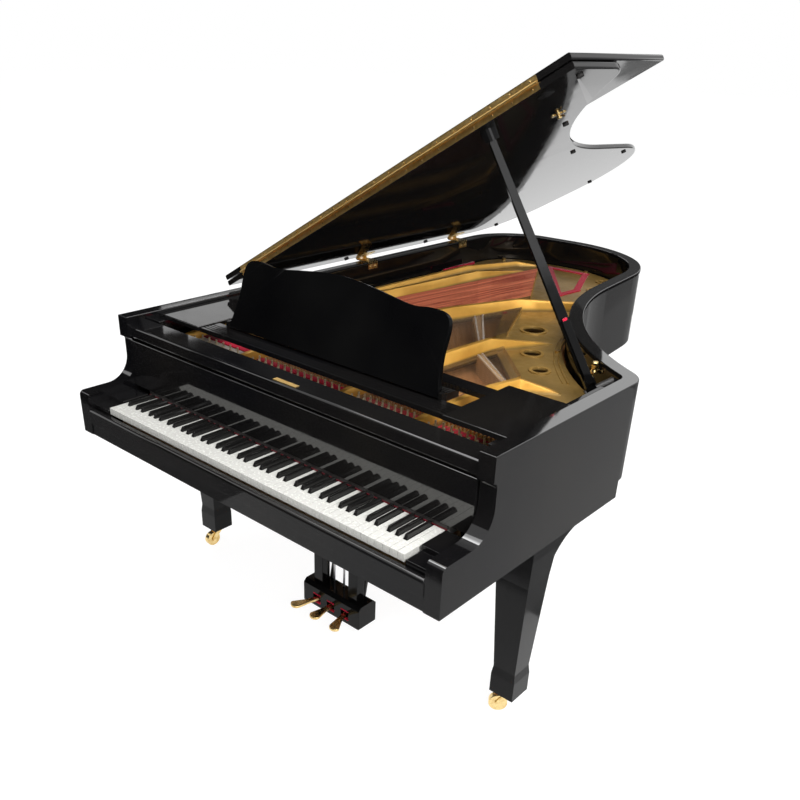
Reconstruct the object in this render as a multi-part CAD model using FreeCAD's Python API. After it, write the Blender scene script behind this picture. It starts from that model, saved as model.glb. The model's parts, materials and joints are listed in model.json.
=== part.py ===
import FreeCAD, Part
import math
import os

V = FreeCAD.Vector
os.makedirs("parts", exist_ok=True)

# A grand piano with its lid propped open. Sizes are in millimetres.
# x runs to the treble, y from the player to the tail, z up from the floor.
# While building, x = 0 is the middle of the keyboard and y = 0 the front of the white keys.

# Keyboard
WHITE_PITCH = 23.5
WHITE_COUNT = 52
KEY_GAP = 1.0
KEY_TOP = 710.0
KEY_DEPTH = 22.0
HEAD_LENGTH = 50.0
KEY_SHOWN = 147.0
KEY_LENGTH = 400.0
SHARP_RISE = 12.0
SHARP_WIDTH = 11.0
SHARP_SLOPE = 6.0
SHARP_SIDE = 1.0
BALANCE_Y = 215.0
KEY_REST = 0.5

# Case
CHEEK_ROOM = 81.0
RIM_WALL = 48.0
HALF_WIDTH = WHITE_COUNT * WHITE_PITCH / 2 + CHEEK_ROOM + RIM_WALL
RIM_TOP = 953.0
RIM_BOTTOM = 655.0
CASE_BOTTOM = 600.0
SIDE_END = 800.0
CORNER_TURN = 60.0
WAIST_RADIUS = 1040.0
WAIST_TURN = 54.0
BENT_STRAIGHT = 270.0
BULGE_RADIUS = 420.0
BULGE_TURN = 50.0
TAIL_RADIUS = 500.0
TAIL_TURN = 38.0
TAIL_CORNER = 260.0
EDGE_ROUND = 3.0
ARM_FRONT = -25.0
ARM_TOP = 739.0
ARM_NOSE = 15.0
ARM_SWEEP = 80.0
ARM_NECK = 160.0
CAP_FRONT = 145.0
CAP_BOTTOM = 885.0
ARM_BACK = 300.0
KEYBED_BACK = 570.0
KEYBED_THICK = 40.0
KEYBED_SET_BACK = 3.0
SLIP_PROUD = 2.0
SLIP_BACK = -3.0
SLIP_TOP = 688.0
SLIP_ROUND = 9.0
BLOCK_LOW = 700.0
BLOCK_TOP = 716.0
BLOCK_STEP = 52.0
BLOCK_GAP = 5.0
STRETCHER_FRONT = 152.0
STRETCHER_BACK = 232.0
STRETCHER_BOTTOM = 884.0
STRETCHER_TOP = 925.0
STRETCHER_ROUND = 8.0
STRIKE_X = 29.0
STRIKE_LENGTH = 90.0
STRIKE_WIDTH = 16.0
STRIKE_SET = 1.0
STRIKE_THICK = 2.0

# Sounding parts
INNER_RIM = 34.0
CORNER_ROOM = 3.0
CORNER_RADIUS = RIM_WALL + INNER_RIM + CORNER_ROOM
BOARD_DROP = 163.0
BOARD_UNDER = RIM_TOP - BOARD_DROP
BOARD_THICK = 10.0
BOARD_FRONT = 492.0
BOARD_GAP = 1.0
RIB_COUNT = 7
RIB_WIDTH = 25.0
RIB_DEPTH = 20.0
BELLY_DEPTH = 38.0
BEAM_WIDTH = 70.0
BEAM_CLEAR = 20.0
BACK_BEAMS = [(-520, -560), (-160, -330), (260, -130)]
PLATE_RISE = 28.0
PLATE_THICK = 14.0
PLATE_TOP = BOARD_UNDER + BOARD_THICK + PLATE_RISE + PLATE_THICK
PLATE_GAP = 12.0
PLATE_LIP = INNER_RIM - PLATE_GAP
PLATE_FRONT = 240.0
WEB_BACK = 428.0
STRUT_FOOT = 34.0
STRUT_TOP = 17.0
STRUT_ROOT = 11.0
HOLE_RING = 10.0
HOLE_RISE = 5.0
PINBLOCK_BACK = 420.0
PINBLOCK_DEPTH = 42.0
STRING_RISE = 20.0
BASS_WIRE = 1.8
PLAIN_WIRE = 0.6
WIRE_SIDES = 8
AGRAFFE_Y = 412.0
AGRAFFE_RADIUS = 3.4
PIN_RADIUS = 3.0
PIN_HEIGHT = 42.0
PIN_GRIP = 8.0
PIN_ROWS = 4
PIN_FIELD_FRONT = 268.0
PIN_ROW_PITCH = 24.0
HITCH_RADIUS = 1.8
LOOP_PIN_RADIUS = 1.2
BOLT_RADIUS = 9.0
BOLT_HEIGHT = 8.0
BOLT_IN = 13.0
BOLT_START = 480.0
BOLT_COUNT = 11
FRONT_BOLTS = [-560, -190, 240, 520]
BRIDGE_AT = 0.77
BRIDGE_TO = 0.82
FELT_THICK = 4.0
FELT_STRIP = 26.0
FELT_FRONT = 40.0
FELT_BACK = 12.0
FELT_SIDE = 8.0
DAMPER_Y = 500.0
DAMPER_LENGTH = 60.0
DAMPER_WIDTH = 7.5
DAMPER_HEIGHT = 22.0
DAMPER_NOTES = 70
CONTACT = 0.4

# Action
FRAME_LIFT = 0.4
FRAME_FRONT = 40.0
FRAME_BACK = 418.0
FRONT_RAIL = 35.0
BALANCE_RAIL = 6.0
BACK_RAIL = 68.0
BRACKET_POST = 14.0
BRACKET_ARM = 20.0
RAIL_FRONT_TOP = 672.0
HAMMER_RAIL_Y = 318.0
HAMMER_RAIL_DEPTH = 24.0
HAMMER_RAIL_HEIGHT = 20.0
HAMMER_RAIL_CLEAR = 4.0
HAMMER_RAIL_TOP = PLATE_TOP - PLATE_THICK - PINBLOCK_DEPTH - HAMMER_RAIL_CLEAR
HAMMER_RAIL_Z = HAMMER_RAIL_TOP - HAMMER_RAIL_HEIGHT
HAMMER_Y = 455.0
HAMMER_LENGTH = 24.0
HAMMER_WIDTH = 7.5
HAMMER_BLOW = 50.0
HAMMER_TOP = PLATE_TOP + STRING_RISE - HAMMER_BLOW
HAMMER_NOSE = 4.0
HAMMER_SHOULDER = 12.0
HAMMER_TAIL = 10.0
SHANK = 5.0
BRACKET_THICK = 10.0

# Lid
LID_OVERHANG = 8.0
LID_THICK = 17.0
LID_LIFT = 6.0
LID_SPLIT = 600.0
LID_OPEN = 30.0
LID_ROUND = 5.0
FLAP_FRONT = 122.0
FLAP_GAP = 6.0
FLAP_RISE = 2.0
PIN_OUT = 16.0
PIN_UP = 8.0
BUTT_LENGTH = 56.0
BUTT_BACK_IN = 135.4
BUTT_APART = 612.0
BUTT_RADIUS = 5.5
BUTT_PIN = 2.5
BUTT_LEAF = 2.0
BUTT_DROP = 28.0
BUTT_SHORT = 8.0
BUTT_CLEAR = 1.0
RUN_FIT = 0.06
STRIP_SHORT = 90.0
KNUCKLES = 12
KNUCKLE_RADIUS = 3.5
KNUCKLE_PIN = 1.6
KNUCKLE_GAP = 0.5
FLAP_LEAF = 1.2
FLAP_LEAF_DEPTH = 15.5
BUMPER_RADIUS = 9.0
BUMPER_COUNT = 9
BUMPER_START = 80.0
BUMPER_GAP = 1.0

# Prop
PROP_FOOT_IN = 82.0
PROP_FOOT_BACK = 6.0
PROP_FOOT_DOWN = 60.0
PROP_HEAD_IN = 302.3
PROP_HEAD_BACK = 60.0
PROP_HEAD_UP = 5.6
FOLD_LINE = V(-0.76, 0.65, 0.0)
PROP_WIDE = 28.0
PROP_DEEP = 24.0
PROP_TAPER = 0.68
PROP_SHORT_OF_LID = 20.0
PROP_PIN = 5.0
PROP_BOSS = 12.0
PROP_BOSS_REACH = 60.0
PROP_KNOB = 5.0
SHORT_LENGTH = 190.0
SHORT_START = 30.0
SHORT_WIDE = 20.0
SHORT_DEEP = 14.0
SHORT_GAP = 1.0
LUG_THICK = 5.0
LUG_HALF = 12.0
LUG_PAST = 7.0
CUP_SIZE = 44.0
CUP_WALL = 7.0
CUP_PAD = 32.0
CUP_LIP = 14.0
SPARE_CUP_IN = 116.0
SPARE_CUP_BACK = 61.0

# Fallboard
FALL_FRONT = 150.0
FALL_THICK = 18.0
FALL_BOTTOM = 727.0
FALL_TOP = 880.0
FALL_AXIS_Y = 156.0
FALL_AXIS_Z = 735.0
FALL_SIDE_GAP = 3.0
FALL_PIN = 4.0
FALL_PIN_IN = 10.0

# Music stand
RAIL_WIDE = 40.0
RAIL_BACK = 770.0
RAIL_DEPTH = 36.0
RAIL_START = 6.0
SHELF_UNDER = 929.0
SHELF_THICK = 14.0
SHELF_IN = 490.0
SHELF_FRONT = 269.0
SHELF_BACK = 559.0
SHELF_SIDE_GAP = 2.0
LEDGE_FRONT = 278.0
LEDGE_BACK = 352.0
LEDGE_TOP = 939.0
LEDGE_THICK = 14.0
BAR_FRONT = 460.0
BAR_BACK = 513.0
GROOVES = 4
GROOVE_WIDE = 5.0
GROOVE_DEEP = 3.0
DESK_HALF = 420.0
DESK_HEIGHT = 237.0
DESK_LEAN = 18.4
DESK_THICK = 16.0
DESK_FRONT = 338.0
DESK_FOOT = 946.0
DESK_PIN = 3.0
DESK_PIN_IN = 14.0
DESK_PIN_ROOM = 2.0
DESK_EAR_WIDE = 12.0
DESK_EAR_HALF = 10.0
DESK_EAR_OVER = 9.0
STRUT_UP = 205.0
STRUT_LUG = 10.0
STRUT_LUG_OUT = 12.0
STRUT_LUG_HALF = 8.0
STRUT_OFF = 2.0
DESK_STRUT_WIDE = 60.0
DESK_STRUT_THICK = 8.0

# Legs and casters
LEG_X = 680.0
LEG_Y = 428.0
TAIL_LEG_X = -300.0
TAIL_LEG_Y = 1990.0
LEG_BOTTOM = 75.0
FOOT_BLOCK = 80.0
FOOT_TOP = 140.0
ANKLE = 73.0
ANKLE_Z = 168.0
LEG_KNEE = 104.0
LEG_KNEE_Z = 480.0
LEG_HEAD = 118.0
LEG_HEAD_Z = 570.0
BRACE_REACH = 170.0
BRACE_DROP = 95.0
BRACE_WIDE = 60.0
BRACE_SINK = 8.0
BRACE_BOW = 44.0
BRACE_BOW_DROP = 38.0
BRACE_EDGE = 8.0
WHEEL_RADIUS = 28.0
WHEEL_WIDE = 22.0
WHEEL_TRAIL = 26.0
AXLE_RADIUS = 5.0
FORK_PLATE = 5.0
FORK_SIDE = 4.0
FORK_GAP = 1.2
FORK_TOP = 68.0
FORK_DISC = 22.0
STEM_RADIUS = 7.0
STEM_LENGTH = 40.0
STEM_ROOM = 2.0
FORK_HEAD = 14.0
FORK_CHEEK = 9.0
FORK_TIP = 6.0
FORK_UP = 4.0
FORK_DOWN = 8.0

# Pedal lyre
LYRE_Y = 410.0
LYRE_HALF = 130.0
LYRE_DEEP = 84.0
LYRE_BOTTOM = 30.0
LYRE_TOP = 115.0
LYRE_WALL = 11.0
LYRE_BEVEL = 12.0
POST_IN = 60.0
POST_WIDE = 40.0
POST_DEEP = 40.0
POST_BLOCK = 40.0
POST_SET = 4.0
BLOCK_SIDE = 15.0
BLOCK_PROUD = 5.0
PEDAL_SPREAD = 92.0
PEDAL_ROD_X = 46.0
PEDAL_TIP_Y = 278.0
PEDAL_PIVOT_Y = 405.0
PEDAL_PIVOT_Z = 63.0
PEDAL_WIDE = 26.0
PEDAL_THICK = 11.0
PEDAL_TIP_WIDE = 40.0
PEDAL_NECK = 62.0
PEDAL_TAPER = 0.7
PEDAL_ROUND = 0.8
PEDAL_EDGE = 3.5
PEDAL_TAIL = 3.0
PEDAL_PIN = 4.0
ROD_Y = 434.0
ROD_RADIUS = 4.0
ROD_TOP = 585.0
ROD_HOLE_GAP = 0.6
SLOT_SIDE = 4.0
SLOT_DOWN = 18.0
BRACE_RADIUS = 7.0
BRACE_X = 76.0
BRACE_TOP_Y = 545.0
BRACE_IN = 2.0
BRACE_FOOT_DOWN = 15.0
BRACE_TOP_IN = 10.0

parts = {}


def box(x0, x1, y0, y1, z0, z1):
    return Part.makeBox(x1 - x0, y1 - y0, z1 - z0, V(x0, y0, z0))


def rod(start, end, radius):
    return Part.makeCylinder(radius, start.distanceToPoint(end), start, end - start)


def face_of(edges):
    return Part.Face(Part.Wire(edges))


def line(a, b):
    return Part.LineSegment(a, b).toShape()


def arc(a, b, c):
    return Part.Arc(a, b, c).toShape()


def polygon(points):
    return Part.Face(Part.makePolygon(points + points[:1]))


def plan_prism(points, z0, z1):
    """A straight-sided block with the given outline in plan."""
    return polygon([V(x, y, z0) for x, y in points]).extrude(V(0, 0, z1 - z0))


def side_prism(points, x0, x1):
    """A straight-sided block with the given outline seen from the side."""
    return polygon([V(x0, y, z) for y, z in points]).extrude(V(x1 - x0, 0, 0))


def joined(first, *others):
    return first.fuse(list(others)).removeSplitter()


def between(a, b, t):
    return a + (b - a) * t


def mirrored(shape):
    return shape.mirror(V(0, 0, 0), V(1, 0, 0))


def rounded(shape, radius, chosen):
    """The shape with the chosen edges rounded."""
    return shape.makeFillet(radius, [e for e in shape.Edges if chosen(e)])


def at_height(z):
    return lambda e: abs(e.BoundBox.ZMin - z) < CONTACT and abs(e.BoundBox.ZMax - z) < CONTACT


def turned(heading, length):
    return V(length * math.cos(math.radians(heading)), length * math.sin(math.radians(heading)), 0)


def bend(start, heading, radius, turn):
    """An arc that leaves the start along the heading and turns left, or right if turn is negative."""
    side = 90 if turn > 0 else -90
    centre = start + turned(heading + side, radius)
    middle = centre + turned(heading + turn / 2 - side, radius)
    end = centre + turned(heading + turn - side, radius)
    return arc(start, middle, end), end


def rim_line(inset, front):
    """The outline of the case, set in from the outer face, from the treble front round to the bass front."""
    here = V(HALF_WIDTH - inset, SIDE_END, 0)
    edges = [line(V(HALF_WIDTH - inset, front, 0), here)]
    heading = 90.0
    edge, here = bend(here, heading, CORNER_RADIUS - inset, CORNER_TURN)
    edges.append(edge)
    heading += CORNER_TURN
    edge, here = bend(here, heading, WAIST_RADIUS + inset, -WAIST_TURN)
    edges.append(edge)
    heading -= WAIST_TURN
    after = here + turned(heading, BENT_STRAIGHT)
    edges.append(line(here, after))
    edge, here = bend(after, heading, BULGE_RADIUS - inset, BULGE_TURN)
    edges.append(edge)
    heading += BULGE_TURN
    edge, here = bend(here, heading, TAIL_RADIUS - inset, TAIL_TURN)
    edges.append(edge)
    heading += TAIL_TURN
    last_turn = 270 - heading
    corner = TAIL_CORNER - inset
    corner_x = corner * (math.cos(math.radians(heading + 90)) - 1)
    run = (here.x + HALF_WIDTH - inset + corner_x) / -math.cos(math.radians(heading))
    after = here + turned(heading, run)
    edges.append(line(here, after))
    edge, here = bend(after, heading, corner, last_turn)
    edges.append(edge)
    edges.append(line(here, V(inset - HALF_WIDTH, front, 0)))
    return edges


def rim_points(inset, front, count):
    """Evenly spaced points along the case outline, set in."""
    return Part.Wire(rim_line(inset, front)).discretize(Number=count)


def rim_slab(inset, front, z0, z1):
    """A slab that fills the case outline, set in, behind the given front line."""
    edges = rim_line(inset, front)
    edges.append(line(V(inset - HALF_WIDTH, front, 0), V(HALF_WIDTH - inset, front, 0)))
    slab = face_of(edges).extrude(V(0, 0, z1 - z0))
    slab.translate(V(0, 0, z0))
    return slab


def rim_ring(inset, wall, front, z0, z1):
    """A wall that follows the case outline."""
    edges = rim_line(inset, front)
    edges.append(line(V(inset - HALF_WIDTH, front, 0), V(inset + wall - HALF_WIDTH, front, 0)))
    edges.extend(rim_line(inset + wall, front))
    edges.append(line(V(HALF_WIDTH - inset - wall, front, 0), V(HALF_WIDTH - inset, front, 0)))
    ring = Part.Face(Part.Wire(Part.__sortEdges__(edges))).extrude(V(0, 0, z1 - z0))
    ring.translate(V(0, 0, z0))
    return ring


def arm(x0, x1):
    """One arm beside the keyboard, with its nose, hollow sweep and cap."""
    sweep_y = ARM_NECK - ARM_SWEEP
    sweep_z = ARM_TOP + ARM_SWEEP
    slant = math.sqrt(0.5)
    cove = ARM_NECK - CAP_FRONT
    p = [
        V(x0, ARM_FRONT, CASE_BOTTOM),
        V(x0, ARM_FRONT, ARM_TOP - ARM_NOSE),
        V(x0, ARM_FRONT + ARM_NOSE * (1 - slant), ARM_TOP - ARM_NOSE * (1 - slant)),
        V(x0, ARM_FRONT + ARM_NOSE, ARM_TOP),
        V(x0, sweep_y, ARM_TOP),
        V(x0, sweep_y + ARM_SWEEP * slant, sweep_z - ARM_SWEEP * slant),
        V(x0, ARM_NECK, sweep_z),
        V(x0, ARM_NECK, CAP_BOTTOM - cove),
        V(x0, CAP_FRONT + cove * slant, CAP_BOTTOM - cove * (1 - slant)),
        V(x0, CAP_FRONT, CAP_BOTTOM),
        V(x0, CAP_FRONT, RIM_TOP),
        V(x0, ARM_BACK, RIM_TOP),
        V(x0, ARM_BACK, RIM_BOTTOM),
        V(x0, SIDE_END, RIM_BOTTOM),
        V(x0, SIDE_END, CASE_BOTTOM),
    ]
    edges = [line(p[0], p[1]), arc(p[1], p[2], p[3]), line(p[3], p[4]), arc(p[4], p[5], p[6])]
    edges += [line(p[6], p[7]), arc(p[7], p[8], p[9])]
    edges += [line(p[i], p[i + 1]) for i in range(9, 14)]
    edges.append(line(p[14], p[0]))
    return face_of(edges).extrude(V(x1 - x0, 0, 0))


def make_case():
    inner = HALF_WIDTH - RIM_WALL
    treble_arm = arm(inner, HALF_WIDTH)
    rim = joined(rim_ring(0, RIM_WALL, ARM_BACK, RIM_BOTTOM, RIM_TOP), treble_arm, mirrored(treble_arm))
    rim = rounded(rim, EDGE_ROUND, at_height(RIM_TOP))
    pin_end = HALF_WIDTH - RIM_WALL + FALL_PIN_IN
    pin_start, pin_stop = [V(x, FALL_AXIS_Y, FALL_AXIS_Z) for x in (-pin_end, pin_end)]
    bore = rod(pin_start, pin_stop, FALL_PIN + RUN_FIT)
    parts["outer_rim"] = rim.cut(bore)
    parts["inner_rim"] = rim_ring(RIM_WALL, INNER_RIM, KEYBED_BACK, RIM_BOTTOM, BOARD_UNDER)
    bed_top = CASE_BOTTOM + KEYBED_THICK
    parts["keybed"] = box(-inner, inner, ARM_FRONT + KEYBED_SET_BACK, KEYBED_BACK, CASE_BOTTOM, bed_top)
    slip = box(-inner, inner, ARM_FRONT - SLIP_PROUD, SLIP_BACK, bed_top, SLIP_TOP)
    parts["key_slip"] = rounded(slip, SLIP_ROUND, at_height(SLIP_TOP))
    outline = [(SLIP_BACK, bed_top), (SLIP_BACK, BLOCK_LOW), (BLOCK_STEP, BLOCK_LOW)]
    outline += [(BLOCK_STEP, BLOCK_TOP), (KEY_SHOWN, BLOCK_TOP), (KEY_SHOWN, bed_top)]
    block = side_prism(outline, WHITE_COUNT * WHITE_PITCH / 2 + BLOCK_GAP, inner)
    parts["key_blocks"] = [block, mirrored(block)]
    rail = box(-inner, inner, STRETCHER_FRONT, STRETCHER_BACK, STRETCHER_BOTTOM, STRETCHER_TOP)
    front_edges = lambda e: e.BoundBox.XLength > inner and e.BoundBox.YMax < STRETCHER_FRONT + CONTACT
    parts["stretcher"] = rounded(rail, STRETCHER_ROUND, front_edges)
    strike_front = STRETCHER_FRONT + STRETCHER_ROUND + STRIKE_SET
    parts["lock_strike"] = box(
        STRIKE_X - STRIKE_LENGTH / 2, STRIKE_X + STRIKE_LENGTH / 2,
        strike_front, strike_front + STRIKE_WIDTH,
        STRETCHER_TOP, STRETCHER_TOP + STRIKE_THICK)


def make_belly():
    """The soundboard with its ribs, and the beams that brace the case beneath it."""
    inner = HALF_WIDTH - RIM_WALL
    room = rim_slab(RIM_WALL + INNER_RIM, BOARD_FRONT, RIM_BOTTOM, BOARD_UNDER)
    board = rim_slab(RIM_WALL + BOARD_GAP, BOARD_FRONT, BOARD_UNDER, BOARD_UNDER + BOARD_THICK)
    solids = [board]
    tail = board.BoundBox.YMax
    pitch = (tail - KEYBED_BACK) / (RIB_COUNT + 1)
    for i in range(RIB_COUNT):
        y = KEYBED_BACK + pitch * (i + 1)
        rib = box(-inner, inner, y, y + RIB_WIDTH, BOARD_UNDER - RIB_DEPTH, BOARD_UNDER)
        solids.extend(rib.common(room).Solids)
    parts["soundboard"] = solids
    beam_top = BOARD_UNDER - RIB_DEPTH - BEAM_CLEAR
    start_y = BOARD_FRONT + BELLY_DEPTH
    belly = box(-inner, inner, BOARD_FRONT, start_y, CASE_BOTTOM + KEYBED_THICK, BOARD_UNDER)
    beams = [belly]
    for front_x, back_x in BACK_BEAMS:
        left = V(front_x - BEAM_WIDTH / 2, start_y, 0)
        right = V(front_x + BEAM_WIDTH / 2, start_y, 0)
        run = V(back_x - front_x, tail - start_y, 0)
        face = polygon([left, right, right + run, left + run])
        beam = face.extrude(V(0, 0, beam_top - RIM_BOTTOM))
        beam.translate(V(0, 0, RIM_BOTTOM))
        beams.append(beam.common(room).Solids[0])
    parts["back_beams"] = beams


# The plate is open between its struts; each section of strings runs over one opening.
# A section is: notes, wires to a note, front x of first and last note, hitch of first and of last note.
SECTIONS = [
    (26, 1, -590.0, -368.0, (-370.0, 2060.0), (-140.0, 1650.0)),
    (26, 2, -296.0, 62.0, (-66.0, 1475.0), (70.0, 1180.0)),
    (20, 2, 128.0, 342.0, (158.0, 1030.0), (350.0, 842.0)),
    (16, 2, 402.0, 598.0, (412.0, 712.0), (592.0, 640.0)),
]
BASS_OPENING = [(-598, WEB_BACK), (-347, WEB_BACK), (-217, 1190), (-150, 1500), (-165, 1600)]
BASS_OPENING += [(-390, 2005), (-425, 1960), (-470, 1750), (-507, 1206)]
OPENINGS = [
    BASS_OPENING,
    [(-313, WEB_BACK), (80, WEB_BACK), (88, 1050), (52, 1135), (-16, 1245), (-104, 1405), (-183, 1190)],
    [(114, WEB_BACK), (356, WEB_BACK), (361, 640), (370, 760), (350, 808), (150, 1005), (123, 760)],
    [(390, WEB_BACK), (618, WEB_BACK), (612, 606), (396, 676)],
]
# Each point of a strut has its rise above the plate.
STRUTS = [
    [(-634, 440, 20), (-622, 1271, 26), (-610, 1850, 24), (-520, 2110, 20), (-410, 2190, 4)],
    [(-622, 300, 36), (-615, 430, 44), (-525, 1206, 44), (-490, 1750, 38), (-430, 2030, 8)],
    [(-338, 300, 36), (-330, 430, 46), (-200, 1190, 47), (-95, 1490, 44), (130, 1715, 30)],
    [(95, 300, 36), (97, 430, 46), (106, 760, 47), (114, 1010, 42), (222, 1225, 3)],
    [(372, 300, 36), (373, 430, 46), (378, 642, 46), (391, 770, 38), (500, 835, 3)],
    [(636, 300, 36), (632, 430, 40), (628, 640, 5)],
]
# Each point of the felt loop has its distance from the tail.
TAIL_FELT = [(-390, 164), (-204, 157), (-86, 439), (-99, 560)]
PLATE_HOLES = [(98, 1309, 40), (237, 1084, 30), (346, 961, 26), (-35, 1986, 25), (-80, 2137, 22)]
NOTE_WIRE_PITCH = 4.0


def offset_line(points, side):
    """The points of a path moved sideways, with mitred corners."""
    moved = []
    for i, point in enumerate(points):
        before = (point - points[i - 1]).normalize() if i else None
        after = (points[i + 1] - point).normalize() if i + 1 < len(points) else None
        first = before or after
        last = after or before
        normal = V(-first.y - last.y, first.x + last.x, 0).normalize()
        reach = side / normal.dot(V(-first.y, first.x, 0))
        moved.append(point + normal * reach)
    return moved


def strut(path):
    """A cast rib along the path, broad at its foot and narrow at its top."""
    points = [V(x, y, 0) for x, y, rise in path]
    lows = [offset_line(points, side * STRUT_FOOT / 2) for side in (-1, 1)]
    highs = [offset_line(points, side * STRUT_TOP / 2) for side in (-1, 1)]
    sections = []
    for i, (x, y, rise) in enumerate(path):
        low = V(0, 0, PLATE_TOP - STRUT_ROOT)
        high = V(0, 0, PLATE_TOP + rise)
        corners = [lows[0][i] + low, lows[1][i] + low, highs[1][i] + high, highs[0][i] + high]
        sections.append(Part.makePolygon(corners + corners[:1]))
    return Part.makeLoft(sections, True, True)


def make_plate():
    """The cast iron plate and what is fixed to it."""
    under = PLATE_TOP - PLATE_THICK
    plate = rim_slab(RIM_WALL + PLATE_GAP, PLATE_FRONT, under, PLATE_TOP)
    holes = [plan_prism(points, under, PLATE_TOP) for points in OPENINGS]
    for x, y, radius in PLATE_HOLES:
        holes.append(Part.makeCylinder(radius, PLATE_THICK, V(x, y, under)))
    plate = plate.cut(holes)
    lip = rim_ring(RIM_WALL + PLATE_GAP, PLATE_LIP, BOARD_FRONT, BOARD_UNDER + BOARD_THICK, under)
    room = rim_slab(RIM_WALL + PLATE_GAP, PLATE_FRONT, under, RIM_TOP)
    ribs = [strut(path).common(room) for path in STRUTS]
    rings = []
    for x, y, radius in PLATE_HOLES:
        outer = Part.makeCylinder(radius + HOLE_RING, HOLE_RISE, V(x, y, PLATE_TOP))
        rings.append(outer.cut(Part.makeCylinder(radius, HOLE_RISE, V(x, y, PLATE_TOP))))
    parts["iron_plate"] = joined(plate, lip, *ribs, *rings)
    inner = HALF_WIDTH - RIM_WALL
    parts["pinblock"] = box(-inner, inner, PLATE_FRONT, PINBLOCK_BACK, under - PINBLOCK_DEPTH, under)


def note_lines():
    """Front and hitch point of every note, with the section it belongs to."""
    notes = []
    for section, (count, wires, first, last, hitch_a, hitch_b) in enumerate(SECTIONS):
        for i in range(count):
            t = i / (count - 1)
            front = V(first + (last - first) * t, AGRAFFE_Y, PLATE_TOP + STRING_RISE)
            hitch = between(V(*hitch_a, PLATE_TOP + STRING_RISE), V(*hitch_b, PLATE_TOP + STRING_RISE), t)
            notes.append((section, wires, front, hitch))
    return notes


def wire_lines(wires, front, hitch):
    """The wires of one note, side by side."""
    shifts = [(k - (wires - 1) / 2) * NOTE_WIRE_PITCH for k in range(wires)]
    return [(front + V(s, 0, 0), hitch + V(s, 0, 0)) for s in shifts]


def wire(pin, agraffe, hitch, radius):
    """One string from its pin over the agraffe to its hitch."""
    rings = []
    for point, along in ((pin, agraffe - pin), (agraffe, hitch - pin), (hitch, hitch - agraffe)):
        across = along.cross(V(0, 0, 1)).normalize() * radius
        up = V(0, 0, radius)
        angles = [2 * math.pi * i / WIRE_SIDES for i in range(WIRE_SIDES)]
        corners = [point + across * math.cos(a) + up * math.sin(a) for a in angles]
        rings.append(Part.makePolygon(corners + corners[:1]))
    return Part.makeLoft(rings, True, True)


def make_strings():
    bass = []
    plain = []
    pins = []
    fittings = []
    dampers = []
    for index, (section, wires, front, hitch) in enumerate(note_lines()):
        radius = PLAIN_WIRE if section else BASS_WIRE
        lines = wire_lines(wires, front, hitch)
        agraffe = Part.makeCylinder(AGRAFFE_RADIUS, STRING_RISE - radius, V(front.x, front.y, PLATE_TOP))
        fittings.append(agraffe)
        fittings.append(hitch_pin(front, hitch, wires, radius))
        for k, (a, b) in enumerate(lines):
            row = PIN_FIELD_FRONT + PIN_ROW_PITCH * ((index * wires + k) % PIN_ROWS)
            pin_foot = V(a.x, row, PLATE_TOP - PIN_GRIP)
            pins.append(Part.makeCylinder(PIN_RADIUS, PIN_HEIGHT + PIN_GRIP, pin_foot))
            group = plain if section else bass
            group.append(wire(V(a.x, row + PIN_RADIUS, a.z), a, b, radius))
        if index < DAMPER_NOTES:
            dampers.append(damper(front, hitch, radius))
    parts["bass_strings"] = bass
    parts["treble_strings"] = plain
    parts["tuning_pins"] = pins
    parts["plate_fittings"] = fittings + plate_bolts()
    parts["dampers"] = dampers


def hitch_pin(front, hitch, wires, radius):
    """A single wire ends in front of its pin, and a pair is one wire looped round it."""
    foot = V(hitch.x, hitch.y, PLATE_TOP)
    if wires == 1:
        foot += (hitch - front).normalize() * (HITCH_RADIUS + CONTACT)
        return Part.makeCylinder(HITCH_RADIUS, STRING_RISE + radius, foot)
    return Part.makeCylinder(LOOP_PIN_RADIUS, STRING_RISE + radius, foot)


def damper(front, hitch, radius):
    """One damper head that lies on the strings of its note."""
    t = (DAMPER_Y + DAMPER_LENGTH / 2 - front.y) / (hitch.y - front.y)
    x = between(front, hitch, t).x
    z = front.z + radius + CONTACT
    half = DAMPER_WIDTH / 2
    head = box(x - half, x + half, DAMPER_Y, DAMPER_Y + DAMPER_LENGTH, z, z + DAMPER_HEIGHT)
    return head


def plate_bolts():
    """Bolts that hold the plate down round its edge."""
    edge = rim_points(RIM_WALL + PLATE_GAP + BOLT_IN, BOLT_START, BOLT_COUNT)
    spots = [(p.x, p.y) for p in edge]
    spots += [(x, PLATE_FRONT + BOLT_IN) for x in FRONT_BOLTS]
    return [Part.makeCylinder(BOLT_RADIUS, BOLT_HEIGHT, V(x, y, PLATE_TOP)) for x, y in spots]


def make_bridges():
    """The bridges carry the strings on the soundboard, one length for each opening."""
    low = BOARD_UNDER + BOARD_THICK
    solids = []
    for count, wires, first, last, hitch_a, hitch_b in SECTIONS:
        radius = PLAIN_WIRE if wires > 1 else BASS_WIRE
        starts = [V(first, AGRAFFE_Y, 0), V(last, AGRAFFE_Y, 0)]
        ends = [V(*hitch_a, 0), V(*hitch_b, 0)]
        corners = [between(starts[0], ends[0], BRIDGE_AT), between(starts[1], ends[1], BRIDGE_AT)]
        corners += [between(starts[1], ends[1], BRIDGE_TO), between(starts[0], ends[0], BRIDGE_TO)]
        height = PLATE_TOP + STRING_RISE - radius - low
        bridge = polygon(corners).extrude(V(0, 0, height))
        bridge.translate(V(0, 0, low))
        solids.append(bridge)
    parts["string_bridges"] = solids


def felt_strip(a, b):
    """A flat strip of cloth on the plate from one point to another."""
    along = (b - a).normalize() * (FELT_STRIP / 2)
    across = V(-along.y, along.x, 0)
    corners = [a - along - across, b + along - across, b + along + across, a - along + across]
    return polygon(corners).extrude(V(0, 0, FELT_THICK))


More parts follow.
